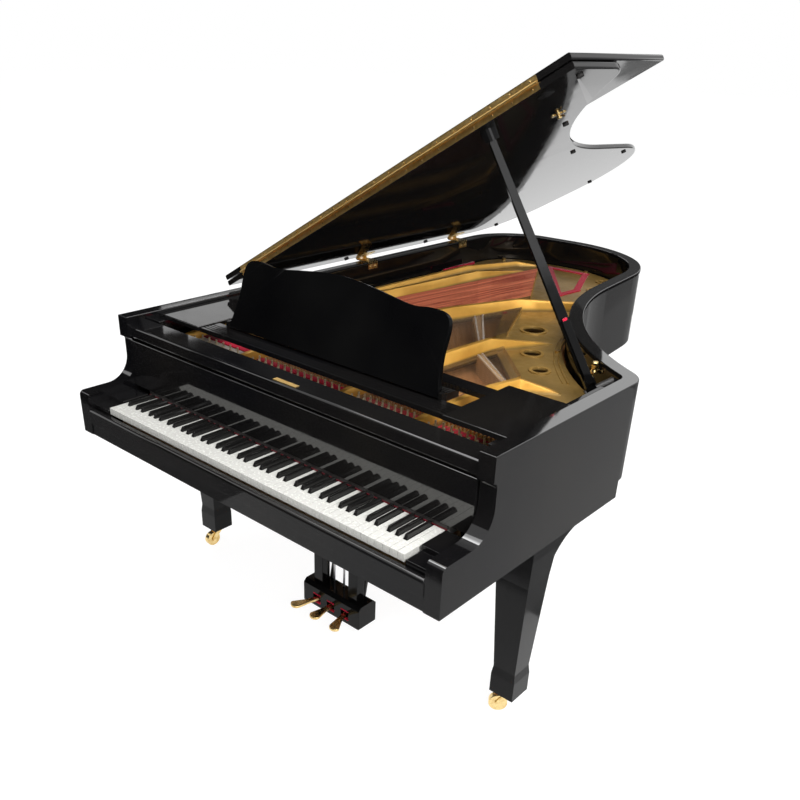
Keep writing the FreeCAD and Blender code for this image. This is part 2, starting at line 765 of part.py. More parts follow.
def make_felts():
    """Red cloth under the strings beside the agraffes, and a loop of it on the plate at the tail."""
    solids = []
    y0, y1 = AGRAFFE_Y - FELT_FRONT, AGRAFFE_Y - FELT_BACK
    for count, wires, first, last, hitch_a, hitch_b in SECTIONS:
        solids.append(box(first - FELT_SIDE, last + FELT_SIDE, y0, y1, PLATE_TOP, PLATE_TOP + FELT_THICK))
    tail = parts["outer_rim"].BoundBox.YMax
    loop = [V(x, tail - y, PLATE_TOP) for x, y in TAIL_FELT]
    strips = [felt_strip(loop[i - 1], loop[i]) for i in range(len(loop))]
    solids.append(joined(strips[0], *strips[1:]))
    parts["string_felts"] = solids


OCTAVE_NAMES = ["c", "c_sharp", "d", "d_sharp", "e", "f", "f_sharp", "g", "g_sharp", "a", "a_sharp", "b"]
WHITE_STEP = {"c": 0, "d": 1, "e": 2, "f": 3, "g": 4, "a": 5, "b": 6}
KEY_GROUPS = {
    "white_keys_c_f": ["c", "f"],
    "white_keys_d_g": ["d", "g"],
    "white_keys_e_a": ["e", "a"],
    "white_keys_b": ["b"],
    "black_keys_c_f": ["c_sharp", "f_sharp"],
    "black_keys_d_g": ["d_sharp", "g_sharp"],
    "black_keys_a": ["a_sharp"],
}
FIRST_NOTE = 9
NOTE_COUNT = 88


def slot(step, octave_x):
    """Left and right side of the strip that a note has at the back of the keyboard."""
    low_count = 5
    low_width = 3 * WHITE_PITCH / low_count
    high_width = 4 * WHITE_PITCH / (len(OCTAVE_NAMES) - low_count)
    if step < low_count:
        return octave_x + step * low_width, octave_x + (step + 1) * low_width
    start = octave_x + 3 * WHITE_PITCH + (step - low_count) * high_width
    return start, start + high_width


def white_key(name, octave_x, tail):
    half_gap = KEY_GAP / 2
    left = octave_x + WHITE_STEP[name] * WHITE_PITCH + half_gap
    right = left + WHITE_PITCH - KEY_GAP
    a, b = tail[0] + half_gap, tail[1] - half_gap
    outline = [(left, 0), (right, 0), (right, HEAD_LENGTH), (b, HEAD_LENGTH)]
    outline += [(b, KEY_LENGTH), (a, KEY_LENGTH), (a, HEAD_LENGTH), (left, HEAD_LENGTH)]
    clean = [p for i, p in enumerate(outline) if p != outline[i - 1]]
    return plan_prism(clean, KEY_TOP - KEY_DEPTH, KEY_TOP)


def black_key(tail):
    middle = (tail[0] + tail[1]) / 2
    half = SHARP_WIDTH / 2
    start = HEAD_LENGTH + KEY_GAP
    stick = box(middle - half, middle + half, start, KEY_LENGTH, KEY_TOP - KEY_DEPTH, KEY_TOP)
    lower = [V(middle - half, start, KEY_TOP), V(middle + half, start, KEY_TOP)]
    lower += [V(middle + half, KEY_SHOWN, KEY_TOP), V(middle - half, KEY_SHOWN, KEY_TOP)]
    narrow = half - SHARP_SIDE
    top = KEY_TOP + SHARP_RISE
    upper = [V(middle - narrow, start + SHARP_SLOPE, top), V(middle + narrow, start + SHARP_SLOPE, top)]
    upper += [V(middle + narrow, KEY_SHOWN, top), V(middle - narrow, KEY_SHOWN, top)]
    rings = [Part.makePolygon(corners + corners[:1]) for corners in (lower, upper)]
    cap = Part.makeLoft(rings, True, True)
    return joined(stick, cap)


def make_keys():
    """All keys; those that share a body are never neighbours."""
    group_of = {}
    for group, names in KEY_GROUPS.items():
        parts[group] = []
        for name in names:
            group_of[name] = group
    octave = 7 * WHITE_PITCH
    first_c = -WHITE_COUNT * WHITE_PITCH / 2 + 2 * WHITE_PITCH
    for note in range(FIRST_NOTE, FIRST_NOTE + NOTE_COUNT):
        step = note % len(OCTAVE_NAMES)
        name = OCTAVE_NAMES[step]
        octave_x = first_c + (note // len(OCTAVE_NAMES) - 1) * octave
        tail = slot(step, octave_x)
        if note == FIRST_NOTE:
            tail = (octave_x + WHITE_STEP[name] * WHITE_PITCH, tail[1])
        if note == FIRST_NOTE + NOTE_COUNT - 1:
            tail = (octave_x, octave_x + WHITE_PITCH)
        key = white_key(name, octave_x, tail) if name in WHITE_STEP else black_key(tail)
        parts[group_of[name]].append(key)


def make_action():
    """The key frame that carries keys and hammers, and the hammers."""
    half = WHITE_COUNT * WHITE_PITCH / 2
    base = CASE_BOTTOM + KEYBED_THICK + FRAME_LIFT
    under = KEY_TOP - KEY_DEPTH - KEY_REST
    solids = [box(-half, half, FRAME_FRONT, FRAME_FRONT + FRONT_RAIL, base, RAIL_FRONT_TOP)]
    pivot = BALANCE_RAIL / 2
    solids.append(box(-half, half, BALANCE_Y - pivot, BALANCE_Y + pivot, base, under))
    solids.append(box(-half, half, FRAME_BACK - BACK_RAIL, FRAME_BACK, base, under))
    hammer_notes = note_lines()
    ends = (hammer_notes[0][2].x - HAMMER_WIDTH, hammer_notes[-1][2].x + HAMMER_WIDTH)
    rail_back = HAMMER_RAIL_Y + HAMMER_RAIL_DEPTH
    solids.append(box(ends[0], ends[1], HAMMER_RAIL_Y, rail_back, HAMMER_RAIL_Z, HAMMER_RAIL_TOP))
    for x in (-half, -half / 3, half / 3, half - BRACKET_THICK):
        solids.append(box(x, x + BRACKET_THICK, FRAME_FRONT, FRAME_BACK, base, base + BRACKET_THICK))
        post = FRAME_BACK - BRACKET_POST
        arm_low = HAMMER_RAIL_Z - BRACKET_ARM
        outline = [(post, base), (FRAME_BACK, base), (FRAME_BACK, HAMMER_RAIL_Z)]
        outline += [(HAMMER_RAIL_Y, HAMMER_RAIL_Z), (HAMMER_RAIL_Y, arm_low), (post, arm_low)]
        solids.append(side_prism(outline, x, x + BRACKET_THICK))
    parts["key_frame"] = joined(solids[0], *solids[1:])
    hammers = []
    shank_z = HAMMER_RAIL_Z + HAMMER_RAIL_HEIGHT / 2
    half_shank = SHANK / 2
    for section, wires, front, hitch in hammer_notes:
        x = between(front, hitch, (HAMMER_Y - front.y) / (hitch.y - front.y)).x
        z0, z1 = shank_z - half_shank, shank_z + half_shank
        shank = box(x - half_shank, x + half_shank, rail_back, HAMMER_Y, z0, z1)
        y0, y1 = HAMMER_Y - HAMMER_LENGTH / 2, HAMMER_Y + HAMMER_LENGTH / 2
        low = shank_z - HAMMER_TAIL
        shoulder = HAMMER_TOP - HAMMER_SHOULDER
        outline = [(y0 + HAMMER_NOSE, low), (y1 - HAMMER_NOSE, low), (y1, shoulder)]
        outline += [(HAMMER_Y + HAMMER_NOSE, HAMMER_TOP), (HAMMER_Y - HAMMER_NOSE, HAMMER_TOP)]
        outline.append((y0, shoulder))
        head = side_prism(outline, x - HAMMER_WIDTH / 2, x + HAMMER_WIDTH / 2)
        hammers.append(joined(shank, head))
    parts["hammers"] = hammers


def opened(shape):
    """The shape swung up with the lid."""
    out = shape.copy()
    out.rotate(V(-HALF_WIDTH - PIN_OUT, 0, RIM_TOP + PIN_UP), V(0, -1, 0), LID_OPEN)
    return out


def off_split(e):
    """Whether the edge lies away from the line where lid and flap part."""
    split = LID_SPLIT + FLAP_GAP
    return e.BoundBox.YMax > split + CONTACT


def butt_places():
    """Where the two butt hinges of the lid stand along the bass side."""
    back = rim_line(0, LID_SPLIT)[-1].Vertexes[0].Y - BUTT_BACK_IN
    return back - BUTT_APART, back


def clear_of_butts(point):
    """The point, or the next one along the bass side that is clear of the leaves of the butts."""
    keep = BUTT_LENGTH / 2 + BUMPER_RADIUS + BUTT_CLEAR
    for y in butt_places():
        if point.x < RIM_WALL - HALF_WIDTH and abs(point.y - y) < keep:
            side = 1 if point.y > y else -1
            return V(point.x, y + side * keep, point.z)
    return point


def make_lid():
    under = RIM_TOP + LID_LIFT
    top = under + LID_THICK
    split = LID_SPLIT + FLAP_GAP
    lid = rim_slab(-LID_OVERHANG, split, under, top)
    lid_edges = lambda e: off_split(e) and (at_height(top)(e) or at_height(under)(e))
    lid = rounded(lid, LID_ROUND, lid_edges)
    parts["lid_main"] = opened(lid)
    edge = HALF_WIDTH + LID_OVERHANG
    depth = LID_SPLIT - FLAP_FRONT
    fold_under = top + 2 * FLAP_RISE
    fold_top = fold_under + LID_THICK
    flap = box(-edge, edge, split, LID_SPLIT + depth, fold_under, fold_top)
    flap_edges = lambda e: off_split(e) and (at_height(fold_under)(e) or at_height(fold_top)(e))
    parts["lid_flap"] = opened(rounded(flap, LID_ROUND, flap_edges))
    bumpers = []
    for point in rim_points(RIM_WALL / 2, LID_SPLIT + BUMPER_START, BUMPER_COUNT):
        foot = clear_of_butts(point) + V(0, 0, RIM_TOP + BUMPER_GAP)
        bumpers.append(opened(Part.makeCylinder(BUMPER_RADIUS, LID_LIFT - BUMPER_GAP, foot)))
    parts["lid_bumpers"] = bumpers


def make_butts():
    """Butt hinges of the lid on the bass side, their case leaves and their lid leaves."""
    x = -HALF_WIDTH - PIN_OUT
    z = RIM_TOP + PIN_UP
    inner = RIM_WALL - HALF_WIDTH
    near = x + BUTT_RADIUS + BUTT_CLEAR
    thick = PIN_UP - BUTT_RADIUS + BUTT_CLEAR
    half = BUTT_LENGTH / 2
    third = BUTT_LENGTH / 6
    lid_under = RIM_TOP + LID_LIFT
    case_leaves = []
    lid_leaves = []
    for y in butt_places():
        flat = box(near, inner + BUTT_LEAF, y - half, y + half, RIM_TOP, RIM_TOP + thick)
        drop = box(inner, inner + BUTT_LEAF, y - half, y + half, RIM_TOP - BUTT_DROP, RIM_TOP + thick)
        solids = [flat, drop, rod(V(x, y - half, z), V(x, y + half, z), BUTT_PIN)]
        for a, b in ((y - half, y - third - KNUCKLE_GAP), (y + third + KNUCKLE_GAP, y + half)):
            solids.append(rod(V(x, a, z), V(x, b, z), BUTT_RADIUS))
            solids.append(box(x, near, a, b, RIM_TOP, RIM_TOP + thick))
        case_leaves.append(joined(solids[0], *solids[1:]))
        leaf = box(near, inner - BUTT_SHORT, y - half, y + half, lid_under - BUTT_LEAF, lid_under)
        tab = box(x, near, y - third, y + third, lid_under - BUTT_LEAF, lid_under)
        knuckle = rod(V(x, y - third, z), V(x, y + third, z), BUTT_RADIUS)
        bore = rod(V(x, y - half, z), V(x, y + half, z), BUTT_PIN + RUN_FIT)
        lid_leaves.append(opened(joined(leaf, tab, knuckle).cut(bore)))
    parts["lid_hinges_case"] = case_leaves
    parts["lid_hinges_lid"] = lid_leaves


def make_flap_hinge():
    """The long hinge of the front flap: a leaf on either edge face, and knuckles that take turns."""
    top = RIM_TOP + LID_LIFT + LID_THICK
    z = top + FLAP_RISE
    over = z + FLAP_RISE
    y = LID_SPLIT
    face = y + FLAP_GAP
    half = HALF_WIDTH - STRIP_SHORT
    pitch = 2 * half / KNUCKLES
    lid_side = [box(-half, half, face - FLAP_LEAF, face, top - FLAP_LEAF_DEPTH, top + FLAP_LEAF)]
    flap_side = [box(-half, half, face - FLAP_LEAF, face, over - FLAP_LEAF, over + FLAP_LEAF_DEPTH)]
    for i in range(KNUCKLES):
        a = -half + pitch * i + KNUCKLE_GAP / 2
        b = a + pitch - KNUCKLE_GAP
        side, low = (lid_side, top) if i % 2 == 0 else (flap_side, over - FLAP_LEAF)
        side.append(rod(V(a, y, z), V(b, y, z), KNUCKLE_RADIUS))
        side.append(box(a, b, y, face, low, low + FLAP_LEAF))
    pin = rod(V(-half, y, z), V(half, y, z), KNUCKLE_PIN)
    bore = rod(V(-half, y, z), V(half, y, z), KNUCKLE_PIN + RUN_FIT)
    parts["flap_hinge_lid"] = opened(joined(lid_side[0], *lid_side[1:], pin))
    parts["flap_hinge_flap"] = opened(joined(flap_side[0], *flap_side[1:]).cut(bore))


class PropFrame:
    """Directions at the foot of the prop: along it, to its inner side, and the way it folds."""

    def __init__(self):
        foot_x = HALF_WIDTH - RIM_WALL - PROP_FOOT_IN
        self.foot = V(foot_x, SIDE_END + PROP_FOOT_BACK, RIM_TOP - PROP_FOOT_DOWN)
        head_y = LID_SPLIT + FLAP_GAP + PROP_HEAD_BACK
        spot = V(HALF_WIDTH - PROP_HEAD_IN, head_y, RIM_TOP + LID_LIFT + PROP_HEAD_UP)
        head = opened(Part.Vertex(spot)).Point
        self.along = (head - self.foot).normalize()
        self.inner = self.along.cross(FOLD_LINE).normalize()
        self.fold = self.inner.cross(self.along)
        self.length = self.foot.distanceToPoint(head) - PROP_SHORT_OF_LID

    def point(self, along, inner, fold):
        return self.foot + self.along * along + self.inner * inner + self.fold * fold

    def bar(self, s0, s1, i0, i1, f0, f1):
        corners = [self.point(s0, i, f) for i, f in ((i0, f0), (i1, f0), (i1, f1), (i0, f1))]
        return polygon(corners).extrude(self.along * (s1 - s0))

    def pin(self, s, fold, i0, i1, radius):
        return rod(self.point(s, i0, fold), self.point(s, i1, fold), radius)

    def section(self, s, wide, deep):
        signs = ((-1, -1), (1, -1), (1, 1), (-1, 1))
        corners = [self.point(s, a * wide / 2, b * deep / 2) for a, b in signs]
        return Part.makePolygon(corners + corners[:1])


def make_prop():
    """The long stick, and the short stick that hangs on its upper side."""
    f = PropFrame()
    wide = PROP_WIDE / 2
    deep = PROP_DEEP / 2
    shaft_start = SHORT_START + SHORT_LENGTH
    lower = f.bar(0, shaft_start, -wide, wide, -deep, deep)
    eye = f.pin(0, 0, -wide, wide, deep)
    first = f.section(shaft_start, PROP_WIDE, PROP_DEEP)
    last = f.section(f.length, PROP_WIDE * PROP_TAPER, PROP_DEEP * PROP_TAPER)
    shaft = Part.makeLoft([first, last], True, True)
    pivot = -deep - SHORT_GAP - SHORT_DEEP / 2
    short_half = SHORT_WIDE / 2
    lug_in = short_half + KNUCKLE_GAP
    lug_out = lug_in + LUG_THICK
    lugs = []
    for a, b in ((-lug_out, -lug_in), (lug_in, lug_out)):
        lugs.append(f.bar(SHORT_START - LUG_HALF, SHORT_START + LUG_HALF, a, b, pivot - LUG_PAST, -deep))
    lug_pin = f.pin(SHORT_START, pivot, -lug_out, lug_out, BUTT_PIN)
    bore = f.pin(0, 0, -wide, wide, PROP_PIN + RUN_FIT)
    parts["prop_stick"] = joined(lower, eye, shaft, *lugs, lug_pin).cut(bore)
    front = pivot - SHORT_DEEP / 2
    rest = f.bar(SHORT_START, shaft_start, -short_half, short_half, front, front + SHORT_DEEP)
    end = f.pin(SHORT_START, pivot, -short_half, short_half, SHORT_DEEP / 2)
    short_bore = f.pin(SHORT_START, pivot, -short_half, short_half, BUTT_PIN + RUN_FIT)
    parts["prop_short_stick"] = joined(rest, end).cut(short_bore)
    make_prop_fittings(f, wide)


def make_prop_fittings(f, wide):
    """The pin on the rim that the prop turns on, and the cups under the lid."""
    near = wide + SHORT_GAP
    boss = f.pin(0, 0, -wide - PROP_BOSS_REACH, -near, PROP_BOSS).cut(parts["outer_rim"])
    boss = min(boss.Solids, key=lambda s: s.CenterOfMass.distanceToPoint(f.foot))
    axle = f.pin(0, 0, -near - PROP_KNOB, near + PROP_KNOB, PROP_PIN)
    knob = f.pin(0, 0, near, near + PROP_KNOB, PROP_PIN * 2)
    parts["prop_bracket"] = joined(boss, axle, knob)
    half = CUP_SIZE / 2
    pad_start = f.length + CONTACT
    seat = f.point(pad_start, 0, 0)
    lip_end = f.point(pad_start - CUP_LIP, 0, 0)
    pad = rod(seat, f.point(pad_start + CUP_PAD, 0, 0), half)
    stop = -PROP_DEEP * PROP_TAPER / 2 - SHORT_GAP
    lip = rod(lip_end, seat, half).cut(rod(lip_end, seat, half - CUP_WALL))
    lip = lip.common(f.bar(pad_start - CUP_LIP, pad_start, -half, half, -half, stop))
    cup = joined(pad, lip).cut(parts["lid_main"])
    low_cup = min(cup.Solids, key=lambda s: s.CenterOfMass.z)
    under = RIM_TOP + LID_LIFT
    spare_y = LID_SPLIT + FLAP_GAP + SPARE_CUP_BACK
    spare_foot = V(HALF_WIDTH - SPARE_CUP_IN, spare_y, under - BUTT_LEAF)
    spare = opened(Part.makeCylinder(half, BUTT_LEAF, spare_foot))
    parts["prop_cup"] = [low_cup, spare]


def make_fallboard():
    half = HALF_WIDTH - RIM_WALL - FALL_SIDE_GAP
    back = FALL_FRONT + FALL_THICK
    panel = box(-half, half, FALL_FRONT, back, FALL_BOTTOM, FALL_TOP)
    panel = rounded(panel, EDGE_ROUND, at_height(FALL_TOP))
    pins = []
    for side in (-1, 1):
        a = V(side * (half - FALL_PIN), FALL_AXIS_Y, FALL_AXIS_Z)
        b = V(side * (half + FALL_SIDE_GAP + FALL_PIN_IN - 1), FALL_AXIS_Y, FALL_AXIS_Z)
        pins.append(rod(a, b, FALL_PIN))
    parts["fallboard"] = joined(panel, *pins)


def make_music_frame():
    """Rails on the case sides, and the sliding frame that carries the desk."""
    inner = HALF_WIDTH - RIM_WALL
    rail_top = SHELF_UNDER - CONTACT
    rail_front = STRETCHER_BACK + RAIL_START
    rail = box(inner - RAIL_WIDE, inner, rail_front, RAIL_BACK, rail_top - RAIL_DEPTH, rail_top)
    parts["side_rails"] = [rail, mirrored(rail)]
    side = inner - SHELF_SIDE_GAP
    shelf = box(SHELF_IN, side, SHELF_FRONT, SHELF_BACK, SHELF_UNDER, SHELF_UNDER + SHELF_THICK)
    shelf = rounded(shelf, EDGE_ROUND, at_height(SHELF_UNDER + SHELF_THICK))
    ledge = box(-SHELF_IN, SHELF_IN, LEDGE_FRONT, LEDGE_BACK, LEDGE_TOP - LEDGE_THICK, LEDGE_TOP)
    bar = box(-SHELF_IN, SHELF_IN, BAR_FRONT, BAR_BACK, LEDGE_TOP - LEDGE_THICK, LEDGE_TOP)
    pitch = (DESK_FRONT - LEDGE_FRONT) / (GROOVES + 1)
    grooves = []
    for i in range(GROOVES):
        y = LEDGE_FRONT + pitch * (i + 1) - GROOVE_WIDE / 2
        grooves.append(box(-SHELF_IN, SHELF_IN, y, y + GROOVE_WIDE, LEDGE_TOP - GROOVE_DEEP, LEDGE_TOP))
    y, z = desk_axis()
    ears = []
    for side_sign in (-1, 1):
        a = side_sign * (DESK_HALF + KNUCKLE_GAP * 2)
        b = a + side_sign * DESK_EAR_WIDE
        y0, y1 = y - DESK_EAR_HALF, y + DESK_EAR_HALF
        ears.append(box(min(a, b), max(a, b), y0, y1, LEDGE_TOP - GROOVE_DEEP, z + DESK_EAR_OVER))
        ears.append(rod(V(a - side_sign * DESK_PIN_IN, y, z), V(b, y, z), DESK_PIN))
    parts["music_frame"] = joined(ledge.cut(grooves), bar, shelf, mirrored(shelf), *ears)


def desk_point(x, up, front):
    """A point on the desk: to the side, up its slope, and in front of its face."""
    lean = math.radians(DESK_LEAN)
    y = DESK_FRONT + up * math.sin(lean) - front * math.cos(lean)
    z = DESK_FOOT + up * math.cos(lean) + front * math.sin(lean)
    return V(x, y, z)


def desk_axis():
    p = desk_point(0, DESK_THICK / 2, -DESK_THICK / 2)
    return p.y, p.z


def curve(points):
    spline = Part.BSplineCurve()
    spline.interpolate(points)
    return spline.toShape()


# Half of the desk's outline, as parts of its half width and of its height.
DESK_SIDE = [(1, 0), (0.971, 0.21), (0.95, 0.485), (0.952, 0.70), (0.938, 0.825), (0.888, 0.895)]
DESK_CREST = [(0.81, 0.915), (0.667, 0.89), (0.45, 0.92), (0.214, 0.975), (0, 1)]


def make_desk():
    h = DESK_HEIGHT
    w = DESK_HALF
    side = [(w * a, h * b) for a, b in DESK_SIDE]
    crest = [(w * a, h * b) for a, b in DESK_SIDE[-1:] + DESK_CREST]
    crest += [(-x, s) for x, s in reversed(crest[:-1])]
    right = [desk_point(x, s, 0) for x, s in side]
    left = [desk_point(-x, s, 0) for x, s in reversed(side)]
    over = [desk_point(x, s, 0) for x, s in crest]
    edges = [line(left[-1], right[0]), curve(right), curve(over), curve(left)]
    panel = face_of(edges).extrude(desk_point(0, 0, -DESK_THICK) - desk_point(0, 0, 0))
    y, z = desk_axis()
    bore = rod(V(-w, y, z), V(w, y, z), DESK_PIN + RUN_FIT)
    hole_end = w - DESK_PIN_IN - DESK_PIN_ROOM
    inside = rod(V(-hole_end, y, z), V(hole_end, y, z), DESK_THICK)
    top = strut_top()
    back_lugs = []
    half = DESK_STRUT_WIDE / 2
    end = half + STRUT_LUG
    lug_back = -DESK_THICK - STRUT_LUG_OUT
    slim = STRUT_LUG_HALF - STRUT_OFF
    for a, b in ((-end, -half - KNUCKLE_GAP), (half + KNUCKLE_GAP, end)):
        outline = [(-DESK_THICK, -STRUT_LUG_HALF), (-DESK_THICK, STRUT_LUG_HALF)]
        outline += [(lug_back, slim), (lug_back, -slim)]
        corners = [desk_point(a, STRUT_UP + DESK_THICK / 2 + s, n) for n, s in outline]
        back_lugs.append(polygon(corners).extrude(V(b - a, 0, 0)))
    pin = rod(V(-end, top.y, top.z), V(end, top.y, top.z), BUTT_PIN)
    parts["music_desk"] = joined(panel.cut(bore.cut(inside)), *back_lugs, pin)


def strut_top():
    return desk_point(0, STRUT_UP + DESK_THICK / 2, -DESK_THICK - DESK_STRUT_THICK / 2 - STRUT_OFF)


def make_desk_strut():
    """The prop behind the desk; its foot stands on the rear bar."""
    top = strut_top()
    half = DESK_STRUT_WIDE / 2
    foot_z = LEDGE_TOP + CONTACT
    lean = math.radians(DESK_LEAN)
    radius = DESK_STRUT_THICK / 2
    length = (top.z - foot_z - radius) / math.cos(lean)
    foot = top + V(0, length * math.sin(lean), -length * math.cos(lean))
    normal = V(0, math.cos(lean), math.sin(lean)) * radius
    corners = [top + normal, foot + normal, foot - normal, top - normal]
    blade = polygon([c + V(-half, 0, 0) for c in corners]).extrude(V(2 * half, 0, 0))
    ends = [rod(p + V(-half, 0, 0), p + V(half, 0, 0), radius) for p in (top, foot)]
    bore = rod(top + V(-half, 0, 0), top + V(half, 0, 0), BUTT_PIN + RUN_FIT)
    parts["desk_strut"] = joined(blade, *ends).cut(bore)


def square(x, y, z, size):
    h = size / 2
    corners = [V(x - h, y - h, z), V(x + h, y - h, z), V(x + h, y + h, z), V(x - h, y + h, z)]
    return Part.makePolygon(corners + corners[:1])


def leg(x, y, top):
    """A leg with a foot block, a narrow ankle and a curved bracket on its outer side, under the case."""
    half = FOOT_BLOCK / 2
    solids = [box(x - half, x + half, y - half, y + half, LEG_BOTTOM, FOOT_TOP)]
    rings = [(FOOT_TOP, FOOT_BLOCK), (ANKLE_Z, ANKLE), (LEG_KNEE_Z, LEG_KNEE)]
    rings += [(LEG_HEAD_Z, LEG_HEAD), (top, LEG_HEAD)]
    wires = [square(x, y, z, size) for z, size in rings]
    solids += [Part.makeLoft([wires[i], wires[i + 1]], True, True) for i in range(len(wires) - 1)]
    face = y + LEG_KNEE / 2
    reach = face + BRACE_REACH
    low = top - BRACE_DROP
    left = x + LEG_KNEE / 2 - BRACE_WIDE if x > 0 else x - LEG_KNEE / 2
    p = [V(left, face - BRACE_SINK, low), V(left, face + BRACE_BOW, top - BRACE_BOW_DROP)]
    p += [V(left, reach, top - BRACE_EDGE), V(left, reach, top)]
    p += [V(left, y, top), V(left, y, low)]
    edges = [arc(p[0], p[1], p[2]), line(p[2], p[3]), line(p[3], p[4]), line(p[4], p[5]), line(p[5], p[0])]
    solids.append(face_of(edges).extrude(V(BRACE_WIDE, 0, 0)))
    stem = rod(V(x, y, LEG_BOTTOM), V(x, y, LEG_BOTTOM + STEM_LENGTH + STEM_ROOM), STEM_RADIUS + RUN_FIT)
    return joined(solids[0], *solids[1:]).cut(stem)


def caster(x, y, heading):
    """Fork and wheel of a caster that trails along the heading."""
    axle_z = WHEEL_RADIUS
    inner = WHEEL_WIDE / 2 + FORK_GAP
    outer = inner + FORK_SIDE
    plate_low = FORK_TOP - FORK_PLATE
    disc = Part.makeCylinder(FORK_DISC, FORK_PLATE, V(0, 0, plate_low))
    collar = Part.makeCylinder(STEM_RADIUS * 2, LEG_BOTTOM - FORK_TOP - CONTACT, V(0, 0, FORK_TOP))
    stem = Part.makeCylinder(STEM_RADIUS, LEG_BOTTOM + STEM_LENGTH - FORK_TOP, V(0, 0, FORK_TOP))
    cheek_z = axle_z + FORK_UP
    tip_z = axle_z - FORK_DOWN
    outline = [(-FORK_HEAD, plate_low), (FORK_HEAD, plate_low)]
    outline += [(WHEEL_TRAIL + FORK_CHEEK, cheek_z), (WHEEL_TRAIL + FORK_TIP, tip_z)]
    outline += [(WHEEL_TRAIL - FORK_TIP, tip_z), (WHEEL_TRAIL - FORK_CHEEK, cheek_z)]
    sides = []
    for a, b in ((-outer, -inner), (inner, outer)):
        sides.append(polygon([V(u, a, z) for u, z in outline]).extrude(V(0, b - a, 0)))
    axle = rod(V(WHEEL_TRAIL, -outer, axle_z), V(WHEEL_TRAIL, outer, axle_z), AXLE_RADIUS)
    fork = joined(disc, collar, stem, *sides, axle)
    half = WHEEL_WIDE / 2
    wheel = rod(V(WHEEL_TRAIL, -half, axle_z), V(WHEEL_TRAIL, half, axle_z), WHEEL_RADIUS)
    wheel = wheel.makeFillet(EDGE_ROUND, [e for e in wheel.Edges if len(e.Vertexes) == 1])
    wheel = wheel.cut(rod(V(WHEEL_TRAIL, -half, axle_z), V(WHEEL_TRAIL, half, axle_z), AXLE_RADIUS + RUN_FIT))
    for shape in (fork, wheel):
        shape.rotate(V(0, 0, 0), V(0, 0, 1), heading)
        shape.translate(V(x, y, 0))
    return fork, wheel


STANDS = {
    "bass": (-LEG_X, LEG_Y, CASE_BOTTOM, 268.0),
    "treble": (LEG_X, LEG_Y, CASE_BOTTOM, 215.0),
    "tail": (TAIL_LEG_X, TAIL_LEG_Y, RIM_BOTTOM, 300.0),
}


def make_stands():
    for name, (x, y, top, heading) in STANDS.items():
        fork, wheel = caster(x, y, heading)
        parts["leg_" + name] = leg(x, y, top)
        parts["caster_fork_" + name] = fork
        parts["caster_wheel_" + name] = wheel


PEDALS = {"soft": -1, "sostenuto": 0, "sustain": 1}


def make_lyre():
    front = LYRE_Y - LYRE_DEEP / 2
    back = LYRE_Y + LYRE_DEEP / 2
    shell = box(-LYRE_HALF, LYRE_HALF, front, back, LYRE_BOTTOM, LYRE_TOP)
    along_top = [e for e in shell.Edges if at_height(LYRE_TOP)(e) and e.Length > LYRE_DEEP + CONTACT]
    shell = shell.makeChamfer(LYRE_BEVEL, along_top)
    hollow = box(
        LYRE_WALL - LYRE_HALF, LYRE_HALF - LYRE_WALL, front + LYRE_WALL, back - LYRE_WALL,
        LYRE_BOTTOM + LYRE_WALL, LYRE_TOP - LYRE_WALL)
    cuts = [hollow]
    for side in PEDALS.values():
        x = side * pedal_x(front)
        half = PEDAL_WIDE / 2 + SLOT_SIDE
        z0 = PEDAL_PIVOT_Z - SLOT_DOWN
        cuts.append(box(x - half, x + half, front, front + LYRE_WALL, z0, PEDAL_PIVOT_Z + SLOT_DOWN))
        hole_foot = V(side * PEDAL_ROD_X, ROD_Y, LYRE_TOP - LYRE_WALL)
        cuts.append(Part.makeCylinder(ROD_RADIUS + ROD_HOLE_GAP, LYRE_WALL, hole_foot))
    end = LYRE_HALF - LYRE_WALL
    axle = rod(V(-end, PEDAL_PIVOT_Y, PEDAL_PIVOT_Z), V(end, PEDAL_PIVOT_Y, PEDAL_PIVOT_Z), PEDAL_PIN)
    pedal_box = joined(shell.cut(cuts), axle)
    y0, y1 = LYRE_Y - POST_DEEP / 2, LYRE_Y + POST_DEEP / 2 - POST_SET
    post = box(POST_IN, POST_IN + POST_WIDE, y0, y1, LYRE_TOP, CASE_BOTTOM - POST_BLOCK)
    block_half = POST_IN + POST_WIDE + BLOCK_SIDE
    block = box(-block_half, block_half, y0 - BLOCK_PROUD, y1, CASE_BOTTOM - POST_BLOCK, CASE_BOTTOM)
    parts["pedal_lyre"] = [pedal_box, post, mirrored(post), block]
    brace_foot = V(BRACE_X, back - BRACE_IN, LYRE_TOP - BRACE_FOOT_DOWN)
    brace = rod(brace_foot, V(BRACE_X, BRACE_TOP_Y, CASE_BOTTOM + BRACE_TOP_IN), BRACE_RADIUS)
    brace = brace.cut([shell, parts["keybed"]])
    brace = max(brace.Solids, key=lambda s: s.Volume)
    parts["lyre_braces"] = [brace, mirrored(brace)]


def pedal_x(y):
    """How far an outer pedal lies from the middle one at the given depth."""
    t = (y - PEDAL_TIP_Y) / (ROD_Y - PEDAL_TIP_Y)
    return PEDAL_SPREAD + (PEDAL_ROD_X - PEDAL_SPREAD) * t


